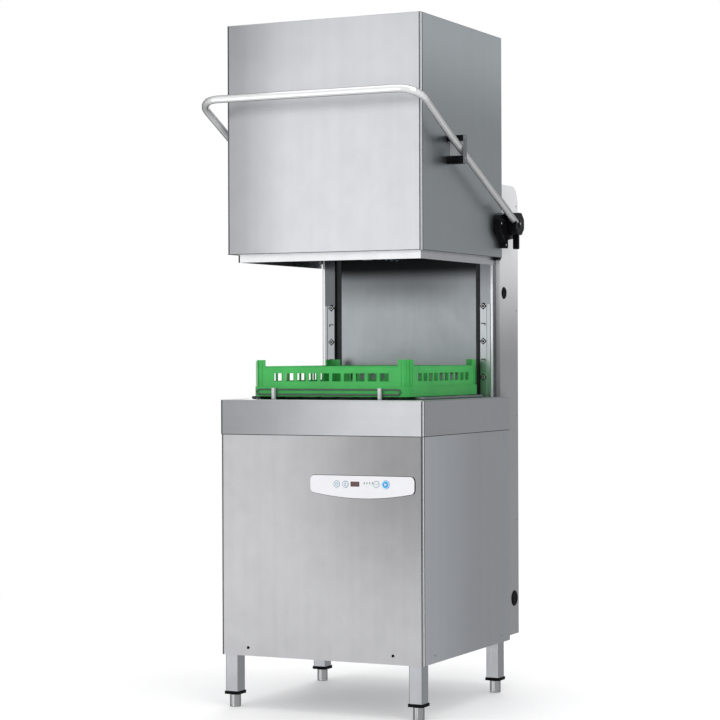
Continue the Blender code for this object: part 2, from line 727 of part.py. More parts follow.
# ---------------------------------------------------------------- hood
def build_hood(steel, plastic):
    """The lifting hood: its sheets, the skirt that lands on the deck, its runners and handle brackets."""
    half = HOOD_HALF_WIDTH
    under_top = HOOD_TOP - SHEET - GAP
    fold = HOOD_FRONT + FOLD_DEPTH
    front_plan = folded_outline(half, back(HOOD_FRONT), SHEET, SHEET_BEND, back(fold))
    front = prism("hood_front_panel", front_plan, "z", HOOD_BOTTOM, under_top, steel)
    top_plan = bent_row(half, back(HOOD_FRONT), SHEET_BEND, back(HOOD_REAR))
    top = prism("hood_top_panel", top_plan, "z", HOOD_TOP - SHEET, HOOD_TOP, steel)
    return_flange = block(
        "hood_rear_flange", (-half + SHEET + GAP, back(HOOD_REAR - SHEET), HOOD_TOP - 0.040),
        (half - SHEET - GAP, back(HOOD_REAR), HOOD_TOP - SHEET / 2), steel,
    )
    weld(top, return_flange)
    pieces = [front, top]
    for side, sign in (("left", -1), ("right", 1)):
        across = sorted((sign * half, sign * (half - SHEET)))
        pieces.append(block(
            f"hood_{side}_panel", (across[0], back(fold + SEAM), HOOD_BOTTOM),
            (across[1], back(HOOD_REAR), under_top), steel,
        ))
        runner = sorted((sign * (POST_OUTER + GAP), sign * (half - SHEET - GAP)))
        pieces.append(block(
            f"hood_runner_{side}", (runner[0], back(0.5890), HOOD_BOTTOM + 0.006),
            (runner[1], back(0.6110), 1.5000), plastic,
        ))
        pieces.append(build_handle_bracket(side, sign, steel))
    pieces.append(build_skirt(steel))
    carry(axis_empty("hood_axis", (0.0, back(CHAMBER_CENTRE), HOOD_BOTTOM)), *pieces)


def build_skirt(steel):
    """The inner band below the hood's sheets, open at the rear, with the flange that joins it to them."""
    outer = SKIRT_HALF_WIDTH
    inner = outer - SHEET
    front = back(SKIRT_FRONT)
    rear = back(SKIRT_REAR)
    band = [
        (-outer, rear), (-outer, front), (outer, front), (outer, rear),
        (inner, rear), (inner, front + SHEET), (-inner, front + SHEET), (-inner, rear),
    ]
    skirt = prism("hood_skirt", band, "z", SKIRT_BOTTOM, HOOD_BOTTOM + 0.020, steel)
    reach = HOOD_HALF_WIDTH - SHEET - GAP
    inside = inner + SHEET / 2
    near = back(HOOD_FRONT + SHEET + GAP)
    flange = [
        (-reach, rear), (-reach, near), (reach, near), (reach, rear),
        (inside, rear), (inside, front + SHEET / 2), (-inside, front + SHEET / 2), (-inside, rear),
    ]
    weld(skirt, prism("skirt_flange", flange, "z", HOOD_BOTTOM + 0.001, HOOD_BOTTOM + 0.0022, steel))
    return skirt


def build_handle_bracket(side, sign, steel):
    """The bracket on the hood's side that the arm runs through, with a pad above and below the arm."""
    root = HOOD_HALF_WIDTH + GAP
    outer = 0.3610
    plate = 0.0015
    pad = 0.0170
    low = BRACKET_HEIGHT - BRACKET_OPENING / 2
    high = BRACKET_HEIGHT + BRACKET_OPENING / 2
    outline = [
        (root, low - pad), (outer, low - pad), (outer, high + pad), (root, high + pad),
        (root, high), (outer - plate, high), (outer - plate, low), (root, low),
    ]
    return prism(
        f"handle_bracket_{side}", [(sign * x, z) for x, z in outline],
        "y", back(BRACKET_DEPTH - 0.0105), back(BRACKET_DEPTH + 0.0105), steel,
    )


# ---------------------------------------------------------------- handle and balance springs
def build_handle(steel, plastic, dark_steel):
    """The bent tube, the two hubs on its ends, and the cross shaft with its two spring levers."""
    pivot = Vector((0.0, back(PIVOT_DEPTH), PIVOT_HEIGHT))
    start = Vector((0.0, -math.cos(ARM_SLOPE), math.sin(ARM_SLOPE)))
    kink = pivot + start * ((PIVOT_DEPTH - KINK_DEPTH) / math.cos(ARM_SLOPE))
    end = pivot + start * TUBE_START
    bar_depth = back(-HANDLE_REACH + TUBE_RADIUS)
    corners = [
        (ARM_SIDE, end.y, end.z), (ARM_SIDE, kink.y, kink.z), (ARM_SIDE, bar_depth, BAR_HEIGHT),
        (-ARM_SIDE, bar_depth, BAR_HEIGHT), (-ARM_SIDE, kink.y, kink.z), (-ARM_SIDE, end.y, end.z),
    ]
    bar = tube("handle_bar", rounded_route(corners, (0.30, 0.062, 0.062, 0.30), 8), TUBE_RADIUS, steel, 12)
    pieces = [bar, build_shaft(pivot, dark_steel)]
    for side, sign in (("left", -1), ("right", 1)):
        pieces.append(build_hub(side, sign, pivot, start, plastic))
    carry(axis_empty("handle_axis", pivot), *pieces)


def build_hub(side, sign, pivot, start, plastic):
    """An eight-sided hub with a finger below, a bore for the shaft and a socket for the tube's end."""
    inner = sign * 0.3295
    outer = sign * 0.3550
    radius = 0.0360
    rim = []
    for step in range(8):
        turn = math.radians(22.5 + 45 * step)
        rim.append((pivot.y + radius * math.cos(turn), pivot.z + radius * math.sin(turn)))
    hub = prism(f"pivot_hub_{side}", rim, "x", inner, outer, plastic)
    finger = [
        (pivot.y - 0.005, pivot.z - 0.020), (pivot.y - 0.005, pivot.z - 0.072),
        (pivot.y - 0.002, pivot.z - 0.076), (pivot.y + 0.002, pivot.z - 0.076),
        (pivot.y + 0.005, pivot.z - 0.072), (pivot.y + 0.005, pivot.z - 0.020),
    ]
    weld(hub, prism(f"hub_finger_{side}", finger, "x", sign * 0.3335, sign * 0.3510, plastic))
    bore = rod_cutter(
        f"hub_bore_{side}", (sign * 0.3400, pivot.y, pivot.z), "x", SHAFT_RADIUS + GAP, 0.06, plastic, 16
    )
    socket_start = pivot + start * (TUBE_START - 0.0004)
    socket_end = pivot + start * 0.060
    socket = tube_mesh(
        f"hub_socket_{side}",
        [(sign * ARM_SIDE, socket_start.y, socket_start.z), (sign * ARM_SIDE, socket_end.y, socket_end.z)],
        TUBE_RADIUS + 0.0005, plastic, 16,
    )
    cut(hub, bore, socket)
    return hub


def build_shaft(pivot, dark_steel):
    """The shaft through the tower, with a lever for each balance spring."""
    half = 0.3545
    profile = [(0.0, half), (SHAFT_RADIUS, half), (SHAFT_RADIUS, -half), (0.0, -half)]
    shaft = turned("pivot_shaft", profile, pivot, "x", dark_steel, 16)
    drop = math.radians(-24.76)
    tip = pivot + Vector((0.0, math.cos(drop), math.sin(drop))) * SPRING_LEVER
    for side, sign in (("left", -1), ("right", 1)):
        outline = []
        for centre, radius, first in ((pivot, 0.0150, 90), (tip, 0.0100, -90)):
            for step in range(9):
                turn = drop + math.radians(first + 180 * step / 8)
                outline.append((centre.y + radius * math.cos(turn), centre.z + radius * math.sin(turn)))
        across = sign * SPRING_SIDE
        weld(shaft, prism(f"spring_lever_{side}", outline, "x", across - 0.003, across + 0.003, dark_steel))
    return shaft


def build_springs(dark_steel):
    """The two balance springs, drawn down to the tower's cross bar."""
    tip_depth = PIVOT_DEPTH + SPRING_LEVER * math.cos(math.radians(24.76))
    top = PIVOT_HEIGHT - SPRING_LEVER * math.sin(math.radians(24.76)) - 0.0105
    profile = [(0.0150, top), (0.0150, SPRING_FOOT), (0.0112, SPRING_FOOT), (0.0112, top)]
    for side, sign in (("left", -1), ("right", 1)):
        turned(
            f"balance_spring_{side}", profile, (sign * SPRING_SIDE, back(tip_depth), 0.0), "z",
            dark_steel, 16, ring=True,
        )


def build_pivot_brackets(plastic):
    """The two black bearing brackets on the tower's sides, each with a stop finger at its lower front."""
    forward = [
        (0.560, 1.4330), (0.5460, 1.4210), (0.5460, 1.3860), (0.5850, 1.3520), (0.5890, 1.3350),
        (0.6110, 1.3350), (0.6120, 1.3600), (0.6550, 1.3660),
        (0.6700, 1.3860), (0.6700, 1.4280), (0.6600, 1.4420),
        (0.6000, 1.4420),
    ]
    for side, sign in (("left", -1), ("right", 1)):
        bracket = prism(
            f"pivot_bracket_{side}", [(back(y), z) for y, z in forward], "x", sign * 0.3095, sign * 0.3275, plastic
        )
        across = sorted((sign * (TOWER_HALF_WIDTH + GAP), sign * 0.3110))
        foot = block(
            f"bracket_foot_{side}", (across[0], back(0.6180), 1.3880), (across[1], back(0.6680), 1.4340), plastic
        )
        weld(bracket, foot)
        bore = rod_cutter(
            f"bracket_bore_{side}", (sign * 0.3150, back(PIVOT_DEPTH), PIVOT_HEIGHT), "x",
            SHAFT_RADIUS + GAP, 0.08, plastic, 16,
        )
        cut(bracket, bore)


# ---------------------------------------------------------------- controls
BUTTONS = {
    "power_button": (0.0543, 0.6525, 0.0080),
    "program_button": (0.0816, 0.6525, 0.0080),
    "select_button": (0.1781, 0.6540, 0.0072),
    "start_button": (0.2065, 0.6538, 0.0115),
}
DISPLAY = ((0.0973, 0.6463), (0.1253, 0.6605))


def build_controls(white, black, grey, blue):
    """The white fascia in the front panel with its display and four push buttons, and the box behind it."""
    face = -0.0030
    fascia = prism("control_fascia", panel_outline(), "y", back(face), back(0.0030), white)
    (left, low), (right, high) = DISPLAY
    window = block("display_hole", (left, back(-0.01), low), (right, back(0.01), high), white)
    cutters = [window]
    for name, (across, height, radius) in BUTTONS.items():
        centre = (across, back(0.0), height)
        cutters.append(rod_cutter(f"{name}_hole", centre, "y", radius + 0.0004, 0.03, white, 24))
    cut(fascia, *cutters)
    block(
        "display_window", (left + GAP, back(face + 0.0006), low + GAP),
        (right - GAP, back(0.0050), high - GAP), black,
    )
    for name, (across, height, radius) in BUTTONS.items():
        colour = blue if name == "start_button" else grey
        rise = face - 0.0018
        profile = [
            (0.0, 0.0048), (radius, 0.0048), (radius, rise + 0.0008), (radius - 0.0008, rise), (0.0, rise),
        ]
        button = turned(name, profile, (across, back(0.0), height), "y", colour, 24)
        carry(axis_empty(f"{name}_axis", (across, back(0.0), height)), button)
    outer = block("control_box", (-0.026, back(0.0034), 0.6080), (0.291, back(0.0500), 0.6840), grey)
    hollow = block("control_box_inside", (-0.024, back(-0.01), 0.6100), (0.289, back(0.0480), 0.6820), grey)
    cut(outer, hollow)


# ---------------------------------------------------------------- machinery
def build_machinery(steel, grey, dark_steel):
    """The wash pump, the rinse boiler and the electrical box under the tank."""
    pump_centre = (0.13, back(0.42), 0.0)
    volute = [
        (0.0, 0.5990), (0.040, 0.5990), (0.040, 0.5600), (0.070, 0.5500), (0.070, 0.5050), (0.052, 0.4950),
        (0.060, 0.4850), (0.060, 0.3300), (0.052, 0.3200), (0.0, 0.3200),
    ]
    pump = turned("wash_pump", volute, pump_centre, "z", dark_steel, 24)
    outlet = tube_mesh(
        "pump_outlet",
        rounded_route(
            [(0.07, back(0.42), 0.527), (-0.005, back(0.42), 0.527), (-0.005, back(0.575), 0.527)], (0.03,), 5
        ),
        0.014, dark_steel, 12,
    )
    weld(pump, outlet)
    shell = [
        (0.0, 0.5200), (0.060, 0.5200), (0.085, 0.5050), (0.085, 0.2150), (0.060, 0.2000), (0.0, 0.2000),
    ]
    turned("rinse_boiler", shell, (-0.16, back(0.40), 0.0), "z", steel, 24)
    block("electrical_box", (-0.150, back(0.030), 0.230), (0.150, back(0.130), 0.480), grey)


def main():
    """Clears the scene and builds the machine from the floor up."""
    for old in list(bpy.data.objects):
        bpy.data.objects.remove(old, do_unlink=True)
    steel = finish("satin_steel", (0.62, 0.63, 0.64), 0.34, 1.0)
    pale_steel = finish("pale_steel", (0.78, 0.80, 0.82), 0.30, 1.0)
    bright_steel = finish("bright_steel", (0.80, 0.80, 0.81), 0.30, 1.0)
    dark_steel = finish("dark_steel", (0.35, 0.36, 0.37), 0.45, 1.0)
    black = finish("black_plastic", (0.015, 0.015, 0.016), 0.45, 0.0)
    white = finish("white_plastic", (0.80, 0.82, 0.83), 0.35, 0.0)
    grey = finish("grey_plastic", (0.55, 0.60, 0.63), 0.45, 0.0)
    blue = finish("blue_plastic", (0.02, 0.35, 0.70), 0.35, 0.0)
    green = finish("green_plastic", (0.05, 0.45, 0.10), 0.40, 0.0)
    build_base(steel)
    build_feet(steel)
    build_panels(steel)
    build_worktop(steel)
    build_tank(steel, grey)
    build_lower_arms(steel)
    build_upper_arms(steel)
    build_rack(green)
    build_track(steel)
    build_posts(steel, pale_steel)
    build_tower(bright_steel, steel)
    build_hood(steel, black)
    build_handle(pale_steel, black, dark_steel)
    build_springs(dark_steel)
    build_pivot_brackets(black)
    build_controls(white, black, grey, blue)
    build_machinery(steel, grey, dark_steel)


main()
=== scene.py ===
"""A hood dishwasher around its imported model: finishes, small fittings, lights and camera.

Metres, +X to the machine's right, -Y towards its user, +Z up.
"""

import logging
import math
from dataclasses import dataclass, field
from enum import Enum
from functools import lru_cache
from typing import Iterable, Sequence

import bmesh
import bpy
from mathutils import Matrix, Vector

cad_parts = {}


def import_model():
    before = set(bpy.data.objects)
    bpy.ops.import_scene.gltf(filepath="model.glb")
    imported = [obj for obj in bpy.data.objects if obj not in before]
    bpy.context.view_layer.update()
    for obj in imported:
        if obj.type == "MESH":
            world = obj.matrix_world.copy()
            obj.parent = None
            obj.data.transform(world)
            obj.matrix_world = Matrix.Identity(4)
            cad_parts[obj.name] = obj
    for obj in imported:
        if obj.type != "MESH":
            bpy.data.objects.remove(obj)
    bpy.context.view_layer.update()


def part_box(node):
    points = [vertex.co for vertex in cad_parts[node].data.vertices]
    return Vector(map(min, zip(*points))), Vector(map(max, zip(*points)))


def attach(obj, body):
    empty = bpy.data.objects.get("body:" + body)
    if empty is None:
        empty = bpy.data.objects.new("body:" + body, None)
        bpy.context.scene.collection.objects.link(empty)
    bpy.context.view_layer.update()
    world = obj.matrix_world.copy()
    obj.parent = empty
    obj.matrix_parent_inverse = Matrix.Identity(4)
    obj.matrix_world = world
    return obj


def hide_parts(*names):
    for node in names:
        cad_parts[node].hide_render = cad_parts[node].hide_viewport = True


LOG = logging.getLogger("hood_dishwasher")
SIDES = (("left", -1), ("right", 1))
SMALL_KEYS = ("power_button", "program_button", "select_button")
Point = Sequence[float]
Pair = tuple[float, float]
Colour = tuple[float, float, float]


class Axis(Enum):
    """The three directions of the machine's frame."""

    X = 0
    Y = 1
    Z = 2


class Grain(Enum):
    """Which way the lines of a brushed sheet run, as noise scales per metre along X, Y and Z."""

    ALONG_X = (5.0, 620.0, 620.0)
    ALONG_Z = (620.0, 620.0, 5.0)
    EVEN = (260.0, 260.0, 260.0)


# ---------------------------------------------------------------- finishes
class Graph:
    """A material's node tree, with short calls that add and join its nodes."""

    def __init__(self, name: str) -> None:
        """Start a material with one Principled shader.

        Args:
            name: The material's name.
        """
        self.material = bpy.data.materials.new(name)
        self.material.use_nodes = True
        self.tree = self.material.node_tree
        self.shader = self.tree.nodes["Principled BSDF"]
        self.place = self.add("ShaderNodeTexCoord").outputs["Object"]

    def add(self, kind: str, **settings: object) -> bpy.types.Node:
        """Add a node and set its properties.

        Args:
            kind: The node's type name.
            **settings: Property values of the node.

        Returns:
            The new node.
        """
        node = self.tree.nodes.new(kind)
        for name, value in settings.items():
            setattr(node, name, value)
        return node

    def join(self, source: bpy.types.NodeSocket | float, target: bpy.types.NodeSocket) -> None:
        """Link a socket to another, or write a plain value into it.

        Args:
            source: An output socket or a number.
            target: The input that takes it.
        """
        if isinstance(source, bpy.types.NodeSocket):
            self.tree.links.new(source, target)
        else:
            target.default_value = source

    def set(self, socket: str, value: object) -> None:
        """Set or link one of the shader's own inputs.

        Args:
            socket: The input's name.
            value: A number, a colour or an output socket.
        """
        self.join(value, self.shader.inputs[socket])

    def noise(self, scales: Point, detail: float = 3.0, roughness: float = 0.55) -> bpy.types.NodeSocket:
        """Noise in the machine's own frame.

        Args:
            scales: Waves per metre along X, Y and Z.
            detail: The noise's octaves.
            roughness: How much the small octaves count.

        Returns:
            The noise value, around 0.5.
        """
        stretch = self.add("ShaderNodeMapping")
        stretch.inputs["Scale"].default_value = scales
        self.join(self.place, stretch.inputs["Vector"])
        noise = self.add("ShaderNodeTexNoise")
        noise.inputs["Scale"].default_value = 1.0
        noise.inputs["Detail"].default_value = detail
        noise.inputs["Roughness"].default_value = roughness
        self.join(stretch.outputs["Vector"], noise.inputs["Vector"])
        return noise.outputs["Fac"]

    def maths(
        self, operation: str, first: bpy.types.NodeSocket | float, second: bpy.types.NodeSocket | float
    ) -> bpy.types.NodeSocket:
        """Join two values with one operation.

        Args:
            operation: The Math node's operation.
            first: The first value.
            second: The second value.

        Returns:
            The result.
        """
        node = self.add("ShaderNodeMath", operation=operation)
        self.join(first, node.inputs[0])
        self.join(second, node.inputs[1])
        return node.outputs[0]

    def spread(
        self, value: bpy.types.NodeSocket, source: Pair, target: Pair, soft: bool = False
    ) -> bpy.types.NodeSocket:
        """Carry a value from one range to another, held at the ends.

        Args:
            value: The value to carry.
            source: Its range.
            target: The new range.
            soft: Whether it eases in and out.

        Returns:
            The carried value.
        """
        node = self.add("ShaderNodeMapRange", interpolation_type="SMOOTHSTEP" if soft else "LINEAR")
        self.join(value, node.inputs["Value"])
        for name, number in zip(("From Min", "From Max", "To Min", "To Max"), (*source, *target)):
            node.inputs[name].default_value = number
        return node.outputs["Result"]

    def tint(self, factor: bpy.types.NodeSocket, dark: Colour, light: Colour) -> bpy.types.NodeSocket:
        """Blend two colours by a value.

        Args:
            factor: 0 for the first colour and 1 for the second.
            dark: The first colour.
            light: The second colour.

        Returns:
            The blended colour.
        """
        node = self.add("ShaderNodeMix", data_type="RGBA")
        self.join(factor, node.inputs[0])
        node.inputs[6].default_value = (*dark, 1.0)
        node.inputs[7].default_value = (*light, 1.0)
        return node.outputs[2]

    def shade(self, colour: bpy.types.NodeSocket, factor: bpy.types.NodeSocket) -> bpy.types.NodeSocket:
        """Multiply a colour by a value.

        Args:
            colour: The colour.
            factor: The value.

        Returns:
            The product.
        """
        node = self.add("ShaderNodeVectorMath", operation="SCALE")
        self.join(colour, node.inputs[0])
        self.join(factor, node.inputs["Scale"])
        return node.outputs[0]

    def ramp_along(self, axis: Axis, start: float, end: float) -> bpy.types.NodeSocket:
        """A value that eases from 0 to 1 between two places on an axis.

        Args:
            axis: The axis.
            start: Where it is 0.
            end: Where it is 1.

        Returns:
            The value.
        """
        split = self.add("ShaderNodeSeparateXYZ")
        self.join(self.place, split.inputs[0])
        return self.spread(split.outputs[axis.value], (start, end), (0.0, 1.0), soft=True)

    def bump(self, height: bpy.types.NodeSocket, strength: float, distance: float) -> None:
        """Raise the surface by a value.

        Args:
            height: The height value.
            strength: How strongly it counts.
            distance: The height of a whole step, in metres.
        """
        node = self.add("ShaderNodeBump")
        node.inputs["Strength"].default_value = strength
        node.inputs["Distance"].default_value = distance
        self.join(height, node.inputs["Height"])
        self.set("Normal", node.outputs["Normal"])


@dataclass(frozen=True)
class PaintedShade:
    """Painted shade over a sheet, where all of its ramps (axis, start, end) have risen."""

    depth: float
    ramps: tuple[tuple[Axis, float, float], ...]

    def over(self, graph: Graph, colour: bpy.types.NodeSocket) -> bpy.types.NodeSocket:
        """Paint the shade into a colour.

        Args:
            graph: The material's graph.
            colour: The colour so far.

        Returns:
            The darkened colour.
        """
        share: bpy.types.NodeSocket | float = 1.0
        for axis, start, end in self.ramps:
            share = graph.maths("MULTIPLY", graph.ramp_along(axis, start, end), share)
        left = graph.maths("MULTIPLY_ADD", share, -self.depth)
        left.node.inputs[2].default_value = 1.0
        return graph.shade(colour, left)


@dataclass(frozen=True)
class Steel:
    """Stainless steel: brushed lines, clouding from handling, a slightly uneven gloss, and optional painted
    shade.
    """

    name: str
    slot: str = "satin_steel"
    tone: Colour = (0.60, 0.61, 0.62)
    gloss: Pair = (0.34, 0.40)
    grain: Grain = Grain.ALONG_Z
    contrast: float = 0.035
    relief: float = 0.04
    metal: float = 1.0
    # Painted shade: how much grazing edges darken, so round parts look lit in the middle.
    rim: float = 0.0
    # Soft darkenings painted across the sheet in place of uneven light and reflection.
    painted_shades: tuple[PaintedShade, ...] = ()

    def make(self) -> bpy.types.Material:
        """Build the material.

        Returns:
            The brushed steel.
        """
        graph = Graph(self.name)
        fine = graph.noise(self.grain.value, 2.0)
        streaks = graph.noise([scale / 14 for scale in self.grain.value], 2.0)
        clouds = graph.noise((2.6, 2.6, 2.6), 4.0)
        touch = graph.noise((17.0, 17.0, 17.0), 6.0, 0.65)
        fine_share = graph.maths("MULTIPLY", fine, 0.35)
        lines = graph.maths("ADD", fine_share, graph.maths("MULTIPLY", streaks, 0.30))
        mixed = graph.maths("ADD", lines, graph.maths("MULTIPLY", clouds, 0.35))
        level = graph.spread(mixed, (0.36, 0.64), (0.0, 1.0))
        dark = tuple(channel * (1 - self.contrast) for channel in self.tone)
        light = tuple(min(1.0, channel * (1 + self.contrast)) for channel in self.tone)
        colour = graph.tint(level, dark, light)
        # Paint the shade across the sheet.
        for fade in self.painted_shades:
            colour = fade.over(graph, colour)
        # Painted shade: darker towards grazing edges, which leaves a painted highlight in the middle.
        if self.rim:
            facing = graph.add("ShaderNodeLayerWeight").outputs["Facing"]
            colour = graph.shade(colour, graph.spread(facing, (0.10, 0.85), (1.0, 1.0 - self.rim), soft=True))
        graph.set("Base Color", colour)
        wear = graph.maths("ADD", graph.maths("MULTIPLY", touch, 0.5), graph.maths("MULTIPLY", fine, 0.5))
        graph.set("Roughness", graph.spread(wear, (0.36, 0.64), self.gloss))
        graph.set("Metallic", self.metal)
        graph.bump(fine, self.relief, 0.0004)
        return graph.material


@dataclass(frozen=True)
class Moulded:
    """A moulded plastic or rubber: a faint grain, flow clouding and rubbed patches."""

    name: str
    slot: str
    tone: Colour
    gloss: Pair = (0.34, 0.48)
    contrast: float = 0.10
    relief: float = 0.06
    coat: float = 0.0
    glow: float = 0.0
    shine: float = 0.5

    def make(self) -> bpy.types.Material:
        """Build the material.

        Returns:
            The plastic.
        """
        graph = Graph(self.name)
        grain = graph.noise((900.0, 900.0, 900.0), 2.0)
        flow = graph.noise((9.0, 9.0, 22.0), 4.0)
        rubbed = graph.noise((34.0, 34.0, 34.0), 6.0, 0.7)
        dark = tuple(channel * (1 - self.contrast) for channel in self.tone)
        light = tuple(min(1.0, channel * (1 + self.contrast)) for channel in self.tone)
        colour = graph.tint(graph.spread(flow, (0.35, 0.65), (0.0, 1.0)), dark, light)
        graph.set("Base Color", colour)
        graph.set("Roughness", graph.spread(rubbed, (0.35, 0.65), self.gloss))
        graph.set("Coat Weight", self.coat)
        graph.set("Specular IOR Level", self.shine)
        graph.set("Emission Strength", self.glow)
        if self.glow:
            graph.set("Emission Color", colour)
        graph.bump(grain, self.relief, 0.0003)
        return graph.material


@dataclass(frozen=True)
class Perforated:
    """Steel sheet punched with a square pattern of small round holes, seen from above."""

    name: str
    slot: str = "satin_steel"
    tone: Colour = (0.52, 0.53, 0.54)
    pitch: float = 0.0085

    def make(self) -> bpy.types.Material:
        """Build the material.

        Returns:
            The punched sheet.
        """
        graph = Graph(self.name)
        repeat = graph.add("ShaderNodeVectorMath", operation="SCALE")
        repeat.inputs["Scale"].default_value = 1.0 / self.pitch
        graph.join(graph.place, repeat.inputs[0])
        cell = graph.add("ShaderNodeVectorMath", operation="FRACTION")
        graph.join(repeat.outputs[0], cell.inputs[0])
        middle = graph.add("ShaderNodeVectorMath", operation="SUBTRACT")
        middle.inputs[1].default_value = (0.5, 0.5, 0.5)
        graph.join(cell.outputs[0], middle.inputs[0])
        flat = graph.add("ShaderNodeVectorMath", operation="MULTIPLY")
        flat.inputs[1].default_value = (1.0, 1.0, 0.0)
        graph.join(middle.outputs[0], flat.inputs[0])
        far = graph.add("ShaderNodeVectorMath", operation="LENGTH")
        graph.join(flat.outputs[0], far.inputs[0])
        sheet = graph.spread(far.outputs["Value"], (0.26, 0.31), (0.0, 1.0))
        graph.set("Base Color", graph.tint(sheet, (0.01, 0.01, 0.01), self.tone))
        graph.set("Roughness", graph.spread(graph.noise((60.0, 60.0, 60.0)), (0.3, 0.7), (0.32, 0.46)))
        graph.set("Metallic", 0.9)
        graph.bump(sheet, 0.4, 0.001)
        return graph.material


Finish = Steel | Moulded | Perforated

X, Y, Z = Axis.X, Axis.Y, Axis.Z
# Painted shade and reflection: darker towards the top right corner and along the top.
FRONT_SHEET = Steel(
    "front_sheet", tone=(0.565, 0.56, 0.567),
    painted_shades=(PaintedShade(0.40, ((X, -0.18, 0.27), (Z, 0.10, 0.68))), PaintedShade(0.14, ((Z, 0.30, 0.78),))),
)
# Painted shade: darker towards the rear.
SIDE_SHEET = Steel("side_sheet", tone=(0.74, 0.755, 0.785), painted_shades=(PaintedShade(0.22, ((Y, -0.32, 0.10),)),))
REAR_SHEET = Steel("rear_sheet", tone=(0.56, 0.57, 0.58))
# Painted shade: darker towards the left end.
APRON_SHEET = Steel(
    "apron_sheet", tone=(0.565, 0.57, 0.585), grain=Grain.ALONG_X, painted_shades=(PaintedShade(0.48, ((X, 0.24, -0.32),)),)
)
DECK_SHEET = Steel("deck_sheet", tone=(0.60, 0.61, 0.62), grain=Grain.ALONG_X, gloss=(0.24, 0.36))
# Painted shade: darker towards the left end and the top left.
HOOD_FRONT = Steel(
    "hood_front_sheet", tone=(0.625, 0.625, 0.645),
    painted_shades=(PaintedShade(0.40, ((X, -0.08, -0.31),)), PaintedShade(0.14, ((Z, 1.70, 1.94), (X, 0.25, -0.30)))),
)
# Painted shade: darker towards the bottom.
HOOD_SIDE = Steel("hood_side_sheet", tone=(0.755, 0.80, 0.815), painted_shades=(PaintedShade(0.34, ((Z, 1.93, 1.66),)),))
HOOD_TOP = Steel("hood_top_sheet", tone=(0.60, 0.61, 0.62), grain=Grain.ALONG_X)
SKIRT_SHEET = Steel("skirt_sheet", tone=(0.70, 0.70, 0.71), grain=Grain.ALONG_X, gloss=(0.24, 0.34))
# Painted shadow of the hood: a dark tone, darker towards the top left, and nearly black just below the hood.
SPLASH_SHEET = Steel(
    "splash_sheet", tone=(0.355, 0.375, 0.39),
    painted_shades=(PaintedShade(0.42, ((Z, 1.14, 1.24), (X, 0.30, 0.02))), PaintedShade(0.93, ((Z, 1.235, 1.283),))),
)
# Painted shade: darker towards the left under the hood, and the dark tone is partly painted shadow too; it
# also colours the rack track, bracket plates and hub cheeks.
POST_SHEET = Steel(
    "post_sheet", tone=(0.30, 0.315, 0.335), gloss=(0.26, 0.36), painted_shades=(PaintedShade(0.60, ((X, 0.10, -0.20),)),)
)
# Painted shade: darker towards the foot, so the top looks lit.
TOWER_SHEET = Steel(
    "tower_sheet", slot="bright_steel", tone=(0.94, 0.94, 0.95), metal=0.25,
    painted_shades=(PaintedShade(0.68, ((Z, 1.42, 0.98),)),),
)
# Painted shade: the guide strips darken towards the left, under the hood.
PALE_STEEL = Steel(
    "pale_strip", slot="pale_steel", tone=(0.57, 0.59, 0.61), painted_shades=(PaintedShade(0.35, ((X, 0.1, -0.2),)),),
)
LEG_STEEL = Steel("leg_steel", tone=(0.52, 0.53, 0.55), gloss=(0.26, 0.38))
FRAME_STEEL = Steel("frame_steel", tone=(0.55, 0.56, 0.57), grain=Grain.EVEN, gloss=(0.34, 0.50))
# Painted shade: grazing edges darken.
CAST_STEEL = Steel(
    "turned_steel", tone=(0.66, 0.66, 0.66), grain=Grain.EVEN, gloss=(0.18, 0.34), relief=0.02, rim=0.75
)
# Near-white and part metal with dark grazing edges: a painted highlight down the tube's middle and painted
# shade at its sides.
TUBE_STEEL = Steel(
    "polished_tube", slot="tube_steel", tone=(0.98, 0.98, 0.98), grain=Grain.EVEN, gloss=(0.10, 0.16),
    contrast=0.02, relief=0.01, metal=0.40, rim=0.86,
)
# Near-white steel: painted highlight on the folds, the post edges and the bracket webs; it also colours the
# guide strip washers.
BRIGHT_TRIM = Steel(
    "bright_trim", slot="pale_steel", tone=(0.88, 0.88, 0.89), gloss=(0.16, 0.26), relief=0.02, metal=0.35
)
SPRING_STEEL = Steel("spring_steel", slot="dark_steel", tone=(0.32, 0.32, 0.33), grain=Grain.EVEN)
TANK_STEEL = Steel("tank_steel", tone=(0.48, 0.49, 0.50), gloss=(0.34, 0.48), grain=Grain.ALONG_X)
DARK_STEEL = Steel("dark_steel", slot="dark_steel", tone=(0.22, 0.22, 0.23), grain=Grain.EVEN)
BRASS = Steel("inlet_brass", slot="dark_steel", tone=(0.66, 0.47, 0.20), grain=Grain.EVEN, gloss=(0.24, 0.36))
STRAINER = Perforated("strainer_sheet")
GLOSS_BLACK = Moulded(
    "gloss_black_plastic", "black_plastic", (0.004, 0.004, 0.005), (0.16, 0.30), 0.25, shine=0.10,
)
RUBBER = Moulded("black_rubber", "black_plastic", (0.004, 0.004, 0.005), (0.50, 0.68), 0.25, 0.12, shine=0.10)
